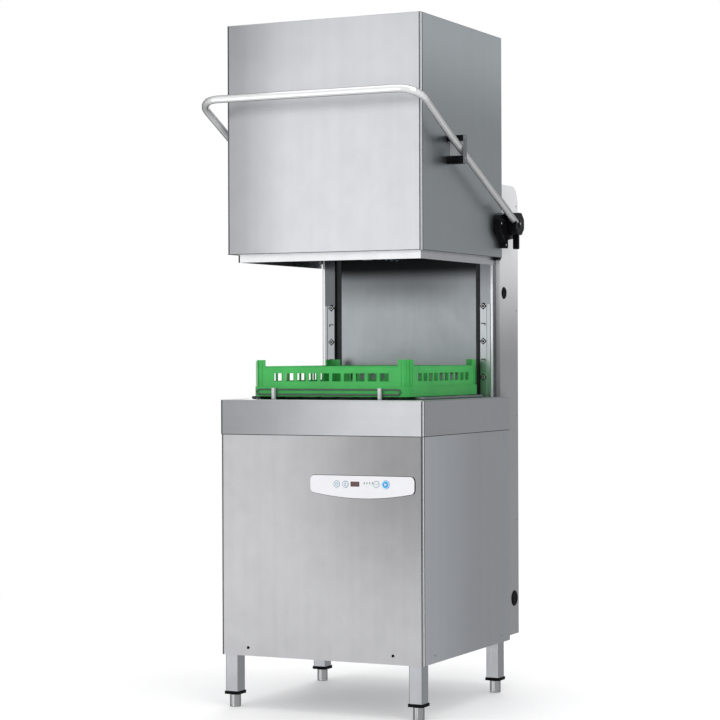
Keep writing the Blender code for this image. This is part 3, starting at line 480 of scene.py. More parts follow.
# Dark lines at joints and gaps, drawn wider and darker than the gaps themselves: painted shadow.
SHADOW_LINE = Moulded("painted_shadow_line", "black_plastic", (0.045, 0.047, 0.05), (0.5, 0.6), shine=0.15)
WHITE_PANEL = Moulded("white_panel", "white_plastic", (0.76, 0.76, 0.78), (0.22, 0.30), 0.02, 0.02, 0.3)
KEY_FACE = Moulded("key_face", "grey_plastic", (0.72, 0.78, 0.81), (0.26, 0.36), 0.03, 0.02)
KEY_RING = Moulded("key_ring", "grey_plastic", (0.06, 0.22, 0.30), (0.30, 0.40), 0.05, 0.02)
LAMP_DARK = Moulded("lamp_dark", "grey_plastic", (0.035, 0.04, 0.05), (0.18, 0.30), 0.05, 0.02)
LAMP_GREEN = Moulded("lamp_green", "green_plastic", (0.12, 0.55, 0.28), (0.25, 0.35), 0.05, 0.02, 0.2, 0.3)
BLUE_KEY = Moulded("blue_key", "blue_plastic", (0.015, 0.25, 0.55), (0.18, 0.28), 0.06, 0.02, 0.5, 0.15)
BLUE_HALO = Moulded("blue_halo", "blue_plastic", (0.40, 0.72, 0.92), (0.22, 0.32), 0.04, 0.02, 0.3)
DISPLAY_GLASS = Moulded("display_glass", "display", (0.055, 0.012, 0.014), (0.08, 0.14), 0.10, 0.0, 0.5)
DISPLAY_DIGIT = Moulded("display_digit", "display", (0.20, 0.05, 0.06), (0.2, 0.3), 0.05, 0.0)
RACK_GREEN = Moulded(
    "rack_green", "green_plastic", (0.045, 0.43, 0.085), (0.34, 0.46), 0.09, 0.08, shine=0.35,
)
PALE_CLIP = Moulded("pale_clip", "grey_plastic", (0.62, 0.66, 0.64), (0.36, 0.46), 0.05)
GREY_PLASTIC = Moulded("grey_plastic", "grey_plastic", (0.20, 0.21, 0.22), (0.42, 0.55))
NOZZLE_BLUE = Moulded("nozzle_plastic", "grey_plastic", (0.10, 0.16, 0.26), (0.34, 0.46), 0.08)


@lru_cache(maxsize=None)
def material_of(finish: Finish) -> bpy.types.Material:
    """Make a finish's material once.

    Args:
        finish: The finish.

    Returns:
        Its material.
    """
    return finish.make()


def dress(finish: Finish, *nodes: str) -> None:
    """Give CAD nodes a finish.

    Args:
        finish: The finish.
        *nodes: Names of CAD nodes.
    """
    for name in nodes:
        node = bpy.data.objects[name]
        for slot in node.material_slots:
            slot.material = material_of(finish)
        LOG.info("dressed %s in %s", name, finish.name)


# ---------------------------------------------------------------- mesh building
def on_axis(axis: Axis, along: float, first: float, second: float) -> Vector:
    """A point from a place along an axis and its other two coordinates in their order.

    Args:
        axis: The axis.
        along: The place along it.
        first: The first of the other coordinates.
        second: The second of them.

    Returns:
        The point.
    """
    place = [first, second]
    place.insert(axis.value, along)
    return Vector(place)


def arc(centre: Pair, radius: float, start: float, end: float, steps: int = 8) -> list[Pair]:
    """Points on an arc in a plane.

    Args:
        centre: The arc's centre.
        radius: Its radius.
        start: The first angle in degrees.
        end: The last angle in degrees.
        steps: How many chords it has.

    Returns:
        The points.
    """
    points = []
    for step in range(steps + 1):
        turn = math.radians(start + (end - start) * step / steps)
        points.append((centre[0] + radius * math.cos(turn), centre[1] + radius * math.sin(turn)))
    return points


def around(middle: Vector, across: Vector, up: Vector, radius: float, sides: int) -> list[Vector]:
    """The corners of a round ring.

    Args:
        middle: The ring's middle.
        across: One unit direction in its plane.
        up: The other unit direction in its plane.
        radius: Its radius.
        sides: How many corners it has.

    Returns:
        The corners in order.
    """
    turns = [math.tau * number / sides for number in range(sides)]
    return [middle + (across * math.cos(turn) + up * math.sin(turn)) * radius for turn in turns]


def inner_and_outer(node: str) -> Pair:
    """How far a node's two side faces are from the machine's middle plane.

    Args:
        node: A node that lies on one side of that plane.

    Returns:
        The distance of the inner face, then that of the outer one.
    """
    low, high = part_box(node)
    inner, outer = sorted((abs(low.x), abs(high.x)))
    return inner, outer


class Shape:
    """A mesh under construction in the machine's own frame."""

    def __init__(self) -> None:
        """Start an empty mesh."""
        self.mesh = bmesh.new()

    def box(self, low: Point, high: Point, rounding: float = 0.0) -> "Shape":
        """Add a box with rounded edges.

        Args:
            low: Its lowest corner.
            high: Its highest corner.
            rounding: The radius of its edges.

        Returns:
            This shape.
        """
        first, last = Vector(map(min, low, high)), Vector(map(max, low, high))
        place = Matrix.Translation((first + last) / 2) @ Matrix.Diagonal((*(last - first), 1.0))
        corners = bmesh.ops.create_cube(self.mesh, size=1.0, matrix=place)["verts"]
        if rounding:
            edges = list({edge for corner in corners for edge in corner.link_edges})
            bmesh.ops.bevel(self.mesh, geom=edges, offset=rounding, segments=3, profile=0.5,
                            affect="EDGES", clamp_overlap=True)
        return self

    def loft(self, rings: Sequence[Sequence[Vector]], closed: bool = False) -> "Shape":
        """Join rings of points, capped at both ends unless the loft closes on itself.

        Args:
            rings: Rings with the same number of points.
            closed: Whether the last ring joins the first.

        Returns:
            This shape.
        """
        rows = [[self.mesh.verts.new(point) for point in ring] for ring in rings]
        count = len(rows[0])
        following = rows[1:] + ([rows[0]] if closed else [])
        for near, far in zip(rows, following):
            for number in range(count):
                after = (number + 1) % count
                self.mesh.faces.new((near[number], near[after], far[after], far[number]))
        if not closed:
            self.mesh.faces.new(rows[0])
            self.mesh.faces.new(rows[-1])
        return self

    def prism(self, outline: Sequence[Pair], axis: Axis, start: float, end: float) -> "Shape":
        """Add an outline extruded along an axis.

        Args:
            outline: The other two coordinates of each corner, in their order.
            axis: The axis.
            start: Where it starts.
            end: Where it ends.

        Returns:
            This shape.
        """
        return self.loft([[on_axis(axis, along, *corner) for corner in outline] for along in (start, end)])

    def turned(self, profile: Sequence[Pair], centre: Point, towards: Point, sides: int = 20) -> "Shape":
        """Add a profile turned about a line.

        Args:
            profile: Radius and distance along the line, from one flat end to the other.
            centre: Where the line starts.
            towards: The line's direction.
            sides: How many sides the turned body has.

        Returns:
            This shape.
        """
        line = Vector(towards).normalized()
        across = line.orthogonal().normalized()
        up = line.cross(across)
        return self.loft([
            around(Vector(centre) + line * along, across, up, radius, sides) for radius, along in profile
        ])

    def rod(self, route: Sequence[Point], radius: float, sides: int = 8, closed: bool = False) -> "Shape":
        """Add a round bar along a route.

        Args:
            route: The points of its middle line.
            radius: The bar's radius.
            sides: How many sides it has.
            closed: Whether it joins its own start.

        Returns:
            This shape.
        """
        line = [Vector(point) for point in route]
        last = len(line) - 1
        across = (line[1] - line[0]).orthogonal().normalized()
        rings = []
        for number, middle in enumerate(line):
            before = line[number - 1] if number or closed else middle
            after = line[(number + 1) % (last + 1)] if number < last or closed else middle
            ahead = (after - before).normalized()
            across = (across - ahead * across.dot(ahead)).normalized()
            up = ahead.cross(across)
            rings.append(around(middle, across, up, radius, sides))
        return self.loft(rings, closed)

    def screw(self, centre: Point, towards: Point, radius: float, drive: int = 6) -> "Shape":
        """Add a round screw head with a socket.

        Args:
            centre: The middle of its seat.
            towards: The direction that it faces.
            radius: The head's radius.
            drive: How many sides the socket has.

        Returns:
            This shape.
        """
        high = radius * 0.55
        head = [(radius, 0.0), (radius, high * 0.5), (radius * 0.86, high * 0.86), (radius * 0.62, high)]
        socket = [(radius * 0.42, high), (radius * 0.40, high * 0.35)]
        return self.turned(head + socket, centre, towards, drive * 4)

    def ring(self, centre: Point, towards: Point, radius: float, thick: float, sides: int = 40) -> "Shape":
        """Add a round wire ring.

        Args:
            centre: Its middle.
            towards: The direction that it faces.
            radius: From its middle to its wire's middle.
            thick: The wire's radius.
            sides: How many chords it has.

        Returns:
            This shape.
        """
        line = Vector(towards).normalized()
        across = line.orthogonal().normalized()
        up = line.cross(across)
        return self.rod(around(Vector(centre), across, up, radius, sides), thick, 6, closed=True)

    def piece(self, name: str, body: str, finish: Finish, smooth_to: float = 38.0) -> bpy.types.Object:
        """Turn the shape into a piece of the machine.

        Args:
            name: The piece's name.
            body: The CAD body that it rides on.
            finish: Its finish.
            smooth_to: Edges up to this many degrees are shaded smooth.

        Returns:
            The new object.
        """
        bmesh.ops.recalc_face_normals(self.mesh, faces=self.mesh.faces)
        mesh = bpy.data.meshes.new(name)
        self.mesh.to_mesh(mesh)
        self.mesh.free()
        mesh.shade_smooth()
        mesh.set_sharp_from_angle(angle=math.radians(smooth_to))
        mesh.materials.append(material_of(finish))
        made = bpy.data.objects.new(name, mesh)
        bpy.context.scene.collection.objects.link(made)
        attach(made, body)
        LOG.info("built %s on %s", name, body)
        return made


def painted_fold_highlight(node: str, body: str, fold: float, margin: float = 0.0) -> None:
    """Paint a highlight on the two folds at the ends of a front sheet, flanked by dark lines of painted
    shade.

    Args:
        node: The front sheet's node.
        body: The body that it belongs to.
        fold: How far the sheet is folded back.
        margin: How far the highlight and the dark lines stop short of the sheet's ends.
    """
    low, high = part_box(node)
    skin = 0.0003
    bright, dark = Shape(), Shape()
    for _, sign in SIDES:
        edge = sign * high.x
        bright.box((edge - sign * skin, low.y + 0.0022, low.z + margin),
                   (edge + sign * skin, low.y + fold - 0.0006, high.z - margin), 0.0001)
        dark.box((edge - sign * 0.0052, low.y - skin, low.z + margin),
                 (edge - sign * 0.0024, low.y + skin, high.z - margin))
        dark.box((edge - sign * 0.0010, low.y + fold - 0.0004, low.z + margin),
                 (edge + sign * skin, low.y + fold + 0.0040, high.z - margin))
    bright.piece(f"{node}_painted_fold_highlights", body, BRIGHT_TRIM)
    dark.piece(f"{node}_fold_shadow_lines", body, SHADOW_LINE)


# ---------------------------------------------------------------- surroundings
@dataclass
class Softbox:
    """One soft light."""

    name: str
    place: Point
    size: Pair
    power: float
    target: Point = (0.0, 0.0, 1.0)

    def build(self) -> None:
        """Add the light, turned towards its target."""
        data = bpy.data.lights.new(self.name, "AREA")
        data.shape = "RECTANGLE"
        data.size, data.size_y = self.size
        data.energy = self.power
        lamp = bpy.data.objects.new(self.name, data)
        lamp.location = self.place
        lamp.rotation_euler = (Vector(self.target) - Vector(self.place)).to_track_quat("-Z", "Y").to_euler()
        lamp.visible_camera = False
        bpy.context.scene.collection.objects.link(lamp)


@dataclass
class Studio:
    """The camera, the pale floor, the background and the soft lights."""

    camera_place: Point = (2.8224, -5.8897, 1.0123)
    yaw: float = 25.870
    pitch: float = -0.101
    roll: float = -0.204
    lens: float = 110.24
    floor_radius: float = 4.2
    floor_clear: Pair = (1.5, 4.0)
    mirrored: Colour = (0.40, 0.41, 0.42)
    scattered: Colour = (0.80, 0.80, 0.81)
    softboxes: list[Softbox] = field(default_factory=lambda: [
        Softbox("front_left_softbox", (-1.9, -4.3, 1.2), (3.4, 4.0), 43.0),
        Softbox("front_right_softbox", (3.4, -3.0, 2.6), (1.8, 2.0), 20.0),
        Softbox("top_softbox", (0.2, -0.4, 4.2), (3.0, 3.0), 45.0),
        Softbox("rear_softbox", (-1.2, 3.6, 2.2), (2.2, 2.2), 25.0),
    ])

    def build_camera(self) -> None:
        """Add the camera and make it the scene's."""
        yaw, pitch, roll = (math.radians(angle) for angle in (self.yaw, self.pitch, self.roll))
        ahead = Vector((-math.sin(yaw) * math.cos(pitch), math.cos(yaw) * math.cos(pitch), math.sin(pitch)))
        level = Vector((math.cos(yaw), math.sin(yaw), 0.0))
        above = level.cross(ahead)
        right = level * math.cos(roll) + above * math.sin(roll)
        up = right.cross(ahead)
        data = bpy.data.cameras.new("camera")
        data.lens = self.lens
        data.sensor_width = 36.0
        data.clip_end = 60.0
        camera = bpy.data.objects.new("camera", data)
        camera.matrix_world = Matrix.Translation(self.camera_place) @ Matrix(
            [[right[row], up[row], -ahead[row]] for row in range(3)]
        ).to_4x4()
        bpy.context.scene.collection.objects.link(camera)
        bpy.context.scene.camera = camera

    def build_floor(self) -> None:
        """Add a round pale floor that clears towards its rim."""
        form = bmesh.new()
        bmesh.ops.create_circle(form, cap_ends=True, radius=self.floor_radius, segments=96)
        mesh = bpy.data.meshes.new("floor")
        form.to_mesh(mesh)
        form.free()
        graph = Graph("pale_floor")
        speckle = graph.noise((4.0, 4.0, 4.0), 4.0)
        graph.set("Base Color", graph.tint(speckle, (0.80, 0.80, 0.80), (0.86, 0.86, 0.86)))
        graph.set("Roughness", graph.spread(speckle, (0.3, 0.7), (0.62, 0.72)))
        graph.set("Emission Color", (1.0, 1.0, 1.0, 1.0))
        graph.set("Emission Strength", 0.22)
        far = graph.add("ShaderNodeVectorMath", operation="LENGTH")
        graph.join(graph.place, far.inputs[0])
        clear = graph.spread(far.outputs["Value"], self.floor_clear, (1.0, 0.0), soft=True)
        graph.set("Alpha", clear)
        mesh.materials.append(graph.material)
        floor = bpy.data.objects.new("floor", mesh)
        floor.visible_glossy = False
        bpy.context.scene.collection.objects.link(floor)

    def build_world(self) -> None:
        """Make the background white, its mirror image grey, and its scattered light soft."""
        world = bpy.data.worlds.new("studio")
        world.use_nodes = True
        tree = world.node_tree
        tree.nodes.clear()
        path = tree.nodes.new("ShaderNodeLightPath")
        output = tree.nodes.new("ShaderNodeOutputWorld")
        backdrop = tree.nodes.new("ShaderNodeBackground")
        blended: bpy.types.NodeSocket | None = None
        for kind, colour in (("Is Glossy Ray", self.mirrored), ("Is Camera Ray", (1.0, 1.0, 1.0))):
            mix = tree.nodes.new("ShaderNodeMix")
            mix.data_type = "RGBA"
            tree.links.new(path.outputs[kind], mix.inputs[0])
            mix.inputs[6].default_value = (*self.scattered, 1.0)
            mix.inputs[7].default_value = (*colour, 1.0)
            if blended:
                tree.links.new(blended, mix.inputs[6])
            blended = mix.outputs[2]
        tree.links.new(blended, backdrop.inputs["Color"])
        tree.links.new(backdrop.outputs[0], output.inputs["Surface"])
        bpy.context.scene.world = world
        bpy.context.scene.view_settings.view_transform = "Standard"

    def build(self) -> None:
        """Build the surroundings."""
        self.build_camera()
        self.build_floor()
        self.build_world()
        for softbox in self.softboxes:
            softbox.build()


# ---------------------------------------------------------------- lower machine
@dataclass
class Cabinet:
    """The lower cabinet: its sheets, frame, legs and tank, with caps and screws."""

    screw_places: tuple[Pair, ...] = ((-0.2330, 0.1760), (0.2258, 0.1774))
    side_screw_depths: tuple[float, ...] = (-0.250, 0.240)
    leg_side: float = 0.2912
    leg_depths: tuple[float, ...] = (-0.3031, 0.2545)
    leg_half: float = 0.0210
    cap_low: float = 0.0370
    cap_high: float = 0.0462
    cap_lip: float = 0.0022
    grip_flutes: int = 24
    grip_radii: Pair = (0.0157, 0.0163)
    grip_heights: Pair = (0.0060, 0.0350)
    front_screw: float = 0.0042
    side_screw: float = 0.0036
    fold: float = 0.0085

    def dress(self) -> None:
        """Give the sheets, the frame and the tank their finishes."""
        dress(FRONT_SHEET, "front_panel")
        dress(SIDE_SHEET, "left_side_panel", "right_side_panel")
        dress(REAR_SHEET, "rear_panel")
        dress(APRON_SHEET, "worktop_apron")
        dress(DECK_SHEET, "worktop_deck")
        dress(LEG_STEEL, "base_frame")
        dress(FRAME_STEEL, "base_tray")
        dress(CAST_STEEL, "foot_front_left", "foot_front_right", "foot_rear_left", "foot_rear_right")
        dress(TANK_STEEL, "wash_tank", "tank_heater", "lower_arm_pedestal")
        dress(STRAINER, "tank_strainer")
        dress(GREY_PLASTIC, "filter_basket", "electrical_box", "control_box")
        dress(DARK_STEEL, "wash_pump")
        dress(TANK_STEEL, "rinse_boiler")
        dress(POST_SHEET, "rack_track")
        dress(DARK_STEEL, "rack_guide_wire")

    def build_screws(self) -> None:
        """Add the screws that hold the front and side sheets."""
        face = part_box("front_panel")[0].y
        shape = Shape()
        for across, height in self.screw_places:
            shape.screw((across, face, height), (0, -1, 0), self.front_screw)
        shape.piece("front_panel_screws", "cabinet", GLOSS_BLACK)
        low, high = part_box("right_side_panel")
        shape = Shape()
        for _, sign in SIDES:
            for depth in self.side_screw_depths:
                shape.screw((sign * high.x, depth, low.z + 0.022), (sign, 0, 0), self.side_screw)
        shape.piece("side_panel_screws", "cabinet", CAST_STEEL)

    def build_leg_caps(self) -> None:
        """Add the black caps under the square legs and the fluted grips of the feet."""
        caps, grips = Shape(), Shape()
        half = self.leg_half + self.cap_lip
        for side in (-self.leg_side, self.leg_side):
            for depth in self.leg_depths:
                caps.box((side - half, depth - half, self.cap_low),
                         (side + half, depth + half, self.cap_high), 0.0012)
                flutes = []
                for number in range(self.grip_flutes):
                    turn = math.tau * number / self.grip_flutes
                    radius = self.grip_radii[number % 2]
                    flutes.append((side + radius * math.cos(turn), depth + radius * math.sin(turn)))
                grips.prism(flutes, Z, *self.grip_heights)
        caps.piece("leg_caps", "cabinet", RUBBER)
        grips.piece("foot_grips", "cabinet", CAST_STEEL, 10.0)

    def build_trims(self) -> None:
        """Add the joints under the deck and the apron, drawn dark as painted shadow, and the sealing line
        under the splash wall.
        """
        low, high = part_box("worktop_deck")
        joint = Shape()
        joint.box((low.x + 0.004, low.y - 0.0002, low.z - 0.0006), (high.x - 0.004, low.y + 0.001, low.z))
        for _, sign in SIDES:
            edge = sign * high.x
            joint.box((edge - sign * 0.001, low.y + 0.004, low.z - 0.0006), (edge, high.y, low.z))
        joint.piece("deck_edge_joint", "cabinet", SHADOW_LINE)
        front_low, front_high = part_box("front_panel")
        side_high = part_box("right_side_panel")[1]
        under = Shape()
        under.box((front_low.x, front_low.y - 0.0004, front_high.z - 0.0016),
                  (front_high.x, front_low.y + 0.0004, front_high.z))
        for _, sign in SIDES:
            edge = sign * side_high.x
            under.box((edge - sign * 0.0004, front_low.y + 0.003, side_high.z - 0.0016),
                      (edge + sign * 0.0004, side_high.y, side_high.z))
        under.piece("apron_joint", "cabinet", SHADOW_LINE)
        wall_low, wall_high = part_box("splash_wall")
        foot = high.z + 0.0003
        bead = [(wall_low.y, high.z + 0.0045), (wall_low.y - 0.0045, foot), (wall_low.y, foot)]
        seal = Shape().prism(bead, X, wall_low.x, wall_high.x)
        seal.piece("splash_wall_seal", "cabinet", PALE_CLIP)

    def build_corners(self) -> None:
        """Paint highlights on the front sheet's and the apron's folds, between two fine dark lines of painted
        shade.
        """
        for name, margin in (("front_panel", 0.0), ("worktop_apron", 0.0003)):
            painted_fold_highlight(name, "cabinet", self.fold, margin)

    def build(self) -> None:
        """Build and dress the cabinet."""
        self.dress()
        self.build_screws()
        self.build_leg_caps()
        self.build_trims()
        self.build_corners()


@dataclass
class ControlPanel:
    """The white panel with its window, keys, lamps and generic signs."""

    lamp_first: float = 0.1406
    lamp_last: float = 0.1657
    lamp_height: float = 0.6572
    lamps: int = 4
    corner: float = 0.0130
    sag: float = 0.0136
    ring_radius: float = 0.0096
    ring_wire: float = 0.00045
    sign_wire: float = 0.0006
    halo_steps: int = 48
    figure_insets: Pair = (0.0085, 0.0165)
    halo: tuple[Pair, ...] = ((0.0001, 0.0), (0.0006, 0.0006), (0.0020, 0.0006), (0.0026, 0.0))

    def dress(self) -> None:
        """Give the panel, the window and the keys their finishes."""
        dress(WHITE_PANEL, "control_fascia")
        dress(DISPLAY_GLASS, "display_window")
        dress(KEY_FACE, *SMALL_KEYS)
        dress(BLUE_KEY, "start_button")

    def build_key_rings(self) -> None:
        """Add the printed ring round each small key, on the panel."""
        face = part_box("control_fascia")[0].y
        rings = Shape()
        for key in SMALL_KEYS:
            low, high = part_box(key)
            middle = ((low.x + high.x) / 2, face, (low.z + high.z) / 2)
            rings.ring(middle, (0, -1, 0), self.ring_radius, self.ring_wire)
        rings.piece("key_rings", "cabinet", KEY_RING)

    def build_key_signs(self) -> None:
        """Add a generic sign on each small key, which moves with it."""
        for key in SMALL_KEYS:
            low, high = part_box(key)
            face, across, height = low.y, (low.x + high.x) / 2, (low.z + high.z) / 2
            sign = Shape()
            if key == "power_button":
                bow = [(x, face, z) for x, z in arc((across, height), 0.0040, 125, 415, 16)]
                sign.rod(bow, self.sign_wire, 6)
                stroke = [(across, face, height + 0.0008), (across, face, height + 0.0052)]
                sign.rod(stroke, self.sign_wire, 6)
            elif key == "program_button":
                drop = [(x, face, z) for x, z in arc((across, height - 0.0012), 0.0029, 160, 380, 12)]
                sign.rod([(across, face, height + 0.0054)] + drop, self.sign_wire, 6, closed=True)
            else:
                for offset in (-0.0027, 0.0027):
                    centre = across + offset
                    bar = [(centre - 0.0016, face, height), (centre + 0.0016, face, height)]
                    sign.rod(bar, self.sign_wire, 6)
            sign.piece(f"{key}_sign", key, KEY_RING)

    def build_start_key(self) -> None:
        """Add the start key's halo ring and its arrow."""
        low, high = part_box("start_button")
        across, height = (low.x + high.x) / 2, (low.z + high.z) / 2
        radius = (high.x - low.x) / 2
        rows = []
        for step in range(self.halo_steps):
            turn = math.tau * step / self.halo_steps
            reaches = [(radius - inset, low.y - rise) for inset, rise in self.halo]
            rows.append([
                Vector((across + reach * math.cos(turn), depth, height + reach * math.sin(turn)))
                for reach, depth in reaches
            ])
        Shape().loft(rows, closed=True).piece("start_button_halo", "start_button", BLUE_HALO)
        tip = 0.0042
        corners = [
            (across - tip * 0.62, height - tip), (across + tip, height), (across - tip * 0.62, height + tip),
        ]
        arrow = Shape().prism(corners, Y, low.y - 0.0005, low.y + 0.0002)
        arrow.piece("start_button_arrow", "start_button", WHITE_PANEL)

    def build_lamps(self) -> None:
        """Add the small lamps and the rules below them."""
        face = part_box("control_fascia")[0].y
        span = (self.lamp_last - self.lamp_first) / (self.lamps - 1)
        dome = [(0.0018, 0.0), (0.0018, 0.0002), (0.0013, 0.0006), (0.0005, 0.0008)]
        lamps, rules = Shape(), Shape()
        for number in range(self.lamps):
            across = self.lamp_first + span * number
            lamps.turned(dome, (across, face, self.lamp_height), (0, -1, 0), 14)
            rules.box(
                (across - 0.0026, face - 0.0002, self.lamp_height - 0.0052),
                (across + 0.0026, face + 0.0002, self.lamp_height - 0.0042),
            )
        lamps.piece("program_lamps", "cabinet", LAMP_DARK)
        rules.piece("lamp_rules", "cabinet", LAMP_GREEN)

    def build_display(self) -> None:
        """Add two unlit figures, each of seven bars, on the display's glass."""
        low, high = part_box("display_window")
        middle = (low.z + high.z) / 2
        tall, wide, thin = 0.0036, 0.0021, 0.0003
        figures = Shape()
        for across in (low.x + inset for inset in self.figure_insets):
            bars = [(across, level, wide - thin, thin) for level in (-tall, 0.0, tall)]
            for side in (-wide, wide):
                bars += [(across + side, level, thin, 0.0013) for level in (-tall / 2, tall / 2)]
            for centre, level, half_width, half_height in bars:
                figures.box(
                    (centre - half_width, low.y - 0.0002, middle + level - half_height),
                    (centre + half_width, low.y + 0.0001, middle + level + half_height),
                )
        figures.piece("display_figures", "cabinet", DISPLAY_DIGIT)

    def outline(self, grow: float) -> list[Pair]:
        """The panel's outline.

        Args:
            grow: How far outside the panel's edge it runs.

        Returns:
            Its corners in X and Z.
        """
        low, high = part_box("control_fascia")
        radius = self.corner + grow
        top, foot = high.z - self.corner, low.z + self.sag + self.corner
        left, right = low.x + self.corner, high.x - self.corner
        middle, reach = (left + right) / 2, (right - left) / 2
        line = arc((right, top), radius, 90, 0) + arc((right, foot), radius, 0, -90)
        for step in range(1, 16):
            share = 1 - step / 8
            line.append((middle + reach * share, foot - radius - self.sag * (1 - share ** 2)))
        return line + arc((left, foot), radius, 270, 180) + arc((left, top), radius, 180, 90)

    def build_rim(self) -> None:
        """Add the shadowed joint round the panel, and a wider black arc of painted shadow at its right end.
        """
        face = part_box("front_panel")[0].y
        joint = [(x, face, z) for x, z in self.outline(0.0006)]
        Shape().rod(joint, 0.0008, 6, closed=True).piece("control_panel_joint", "cabinet", SHADOW_LINE)
        wide = [(x, face, z) for x, z in self.outline(0.0012)]
        Shape().rod(wide[3:14], 0.0014, 8).piece("control_panel_end_shadow", "cabinet", RUBBER)

    def build(self) -> None:
        """Build and dress the panel."""
        self.dress()
        self.build_rim()
        self.build_key_rings()
        self.build_key_signs()
        self.build_start_key()
        self.build_lamps()
        self.build_display()


# ---------------------------------------------------------------- rear tower and posts
@dataclass
class Tower:
    """The rear column: its sheets, plugs, cover screws, springs and supply fittings."""

    plugs: tuple[tuple[float, float, float], ...] = ((0.3120, 1.2020, 0.0180), (0.3885, 0.2700, 0.0235))
    cover_rows: tuple[float, ...] = (0.185, 0.510, 0.830, 1.150, 1.470)
    spring_wire: float = 0.0018
    spring_turns: int = 46
    spring_chords: int = 14
    spring_hook: float = 0.008
    spring_end: float = 0.012
    supply_side: float = 0.17

    def dress(self) -> None:
        """Give the column, its cap and its cover their finishes."""
        dress(TOWER_SHEET, "tower_column", "tower_cap")
        dress(REAR_SHEET, "tower_rear_cover")
        dress(CAST_STEEL, "upper_arm_manifold", "pivot_shaft")

    def build_plugs(self) -> None:
        """Add the black plugs in the column's sides."""
        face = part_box("tower_column")[1].x
        shape = Shape()
        for _, sign in SIDES:
            for depth, height, radius in self.plugs:
                profile = [
                    (radius - 0.005, -0.004), (radius - 0.005, 0.0001), (radius, 0.0002), (radius, 0.0012),
                    (radius - 0.0016, 0.0026), (radius - 0.0050, 0.0028), (radius - 0.0062, 0.0018),
                    (radius * 0.3, 0.0020),
                ]
                shape.turned(profile, (sign * face, depth, height), (sign, 0, 0), 36)
        shape.piece("tower_plugs", "cabinet", RUBBER)

    def build_cover_screws(self) -> None:
        """Add the screws of the rear cover and of the cap."""
        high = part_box("tower_column")[1]
        shape = Shape()
        for _, sign in SIDES:
            for height in self.cover_rows:
                shape.screw((sign * high.x, high.y - 0.0110, height), (sign, 0, 0), 0.0026)
        shape.piece("rear_cover_screws", "cabinet", CAST_STEEL)
        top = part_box("tower_cap")[1].z
        caps = Shape()
        for _, sign in SIDES:
            caps.screw((sign * (high.x - 0.030), high.y - 0.070, top - 0.0004), (0, 0, 1), 0.0036)
        caps.piece("tower_cap_screws", "cabinet", CAST_STEEL)

    def build_springs(self) -> None:
        """Wind the two balance springs, each with a hook at both ends."""
        for side, _ in SIDES:
            node = f"balance_spring_{side}"
            low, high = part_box(node)
            centre = (low + high) / 2
            radius = (high.x - low.x) / 2 - self.spring_wire
            bottom, top = low.z + self.spring_end, high.z - self.spring_end
            hooks = (self.spring_wire, self.spring_hook)
            route = [Vector((centre.x, centre.y, low.z + hook)) for hook in hooks]
            steps = self.spring_turns * self.spring_chords
            for step in range(steps + 1):
                turn = math.tau * self.spring_turns * step / steps
                height = bottom + (top - bottom) * step / steps
                offset = Vector((radius * math.cos(turn), radius * math.sin(turn), height - centre.z))
                route.append(centre + offset)
            route += [Vector((centre.x, centre.y, high.z - hook)) for hook in reversed(hooks)]
            coil = Shape().rod(route, self.spring_wire, 6)
            made = coil.piece(f"coiled_spring_{side}", "cabinet", SPRING_STEEL, 60.0)
            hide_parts(node)

    def build_supplies(self) -> None:
        """Add the plate inside the column's foot with the water inlet, the drain and the cable gland."""
        low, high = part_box("tower_column")
        plate = low.z + 0.0016
        depth = (low.y + high.y) / 2
        Shape().box(
            (low.x + 0.002, low.y + 0.002, plate), (high.x - 0.002, high.y - 0.0008, plate + 0.0012)
        ).piece("supply_plate", "cabinet", FRAME_STEEL)
        down = (0, 0, -1)
        inlet = [(0.0135, -0.001), (0.0135, 0.008), (0.0105, 0.0085)]
        for thread in range(7):
            inlet += [(0.0105, 0.010 + 0.0022 * thread), (0.0096, 0.0111 + 0.0022 * thread)]
        inlet.append((0.0070, 0.0262))
        thread_end = Shape().turned(inlet, (-self.supply_side, depth, plate), down, 24)
        thread_end.piece("water_inlet", "cabinet", BRASS, 25.0)
        drain = [(0.0240, -0.001), (0.0240, 0.006), (0.0160, 0.008), (0.0160, 0.024), (0.0175, 0.026),
                 (0.0175, 0.029), (0.0150, 0.033), (0.0120, 0.033)]
        Shape().turned(drain, (0.0, depth, plate), down, 28).piece("drain_outlet", "cabinet", GREY_PLASTIC)
        gland = [(0.0150, -0.001), (0.0150, 0.006), (0.0120, 0.0065), (0.0120, 0.018), (0.0085, 0.024),
                 (0.0055, 0.024)]
        nut = Shape().turned(gland, (self.supply_side, depth, plate), down, 6)
        nut.piece("cable_gland", "cabinet", RUBBER, 25.0)

    def build(self) -> None:
        """Build and dress the tower."""
        self.dress()
        self.build_plugs()
        self.build_cover_screws()
        self.build_springs()
        self.build_supplies()


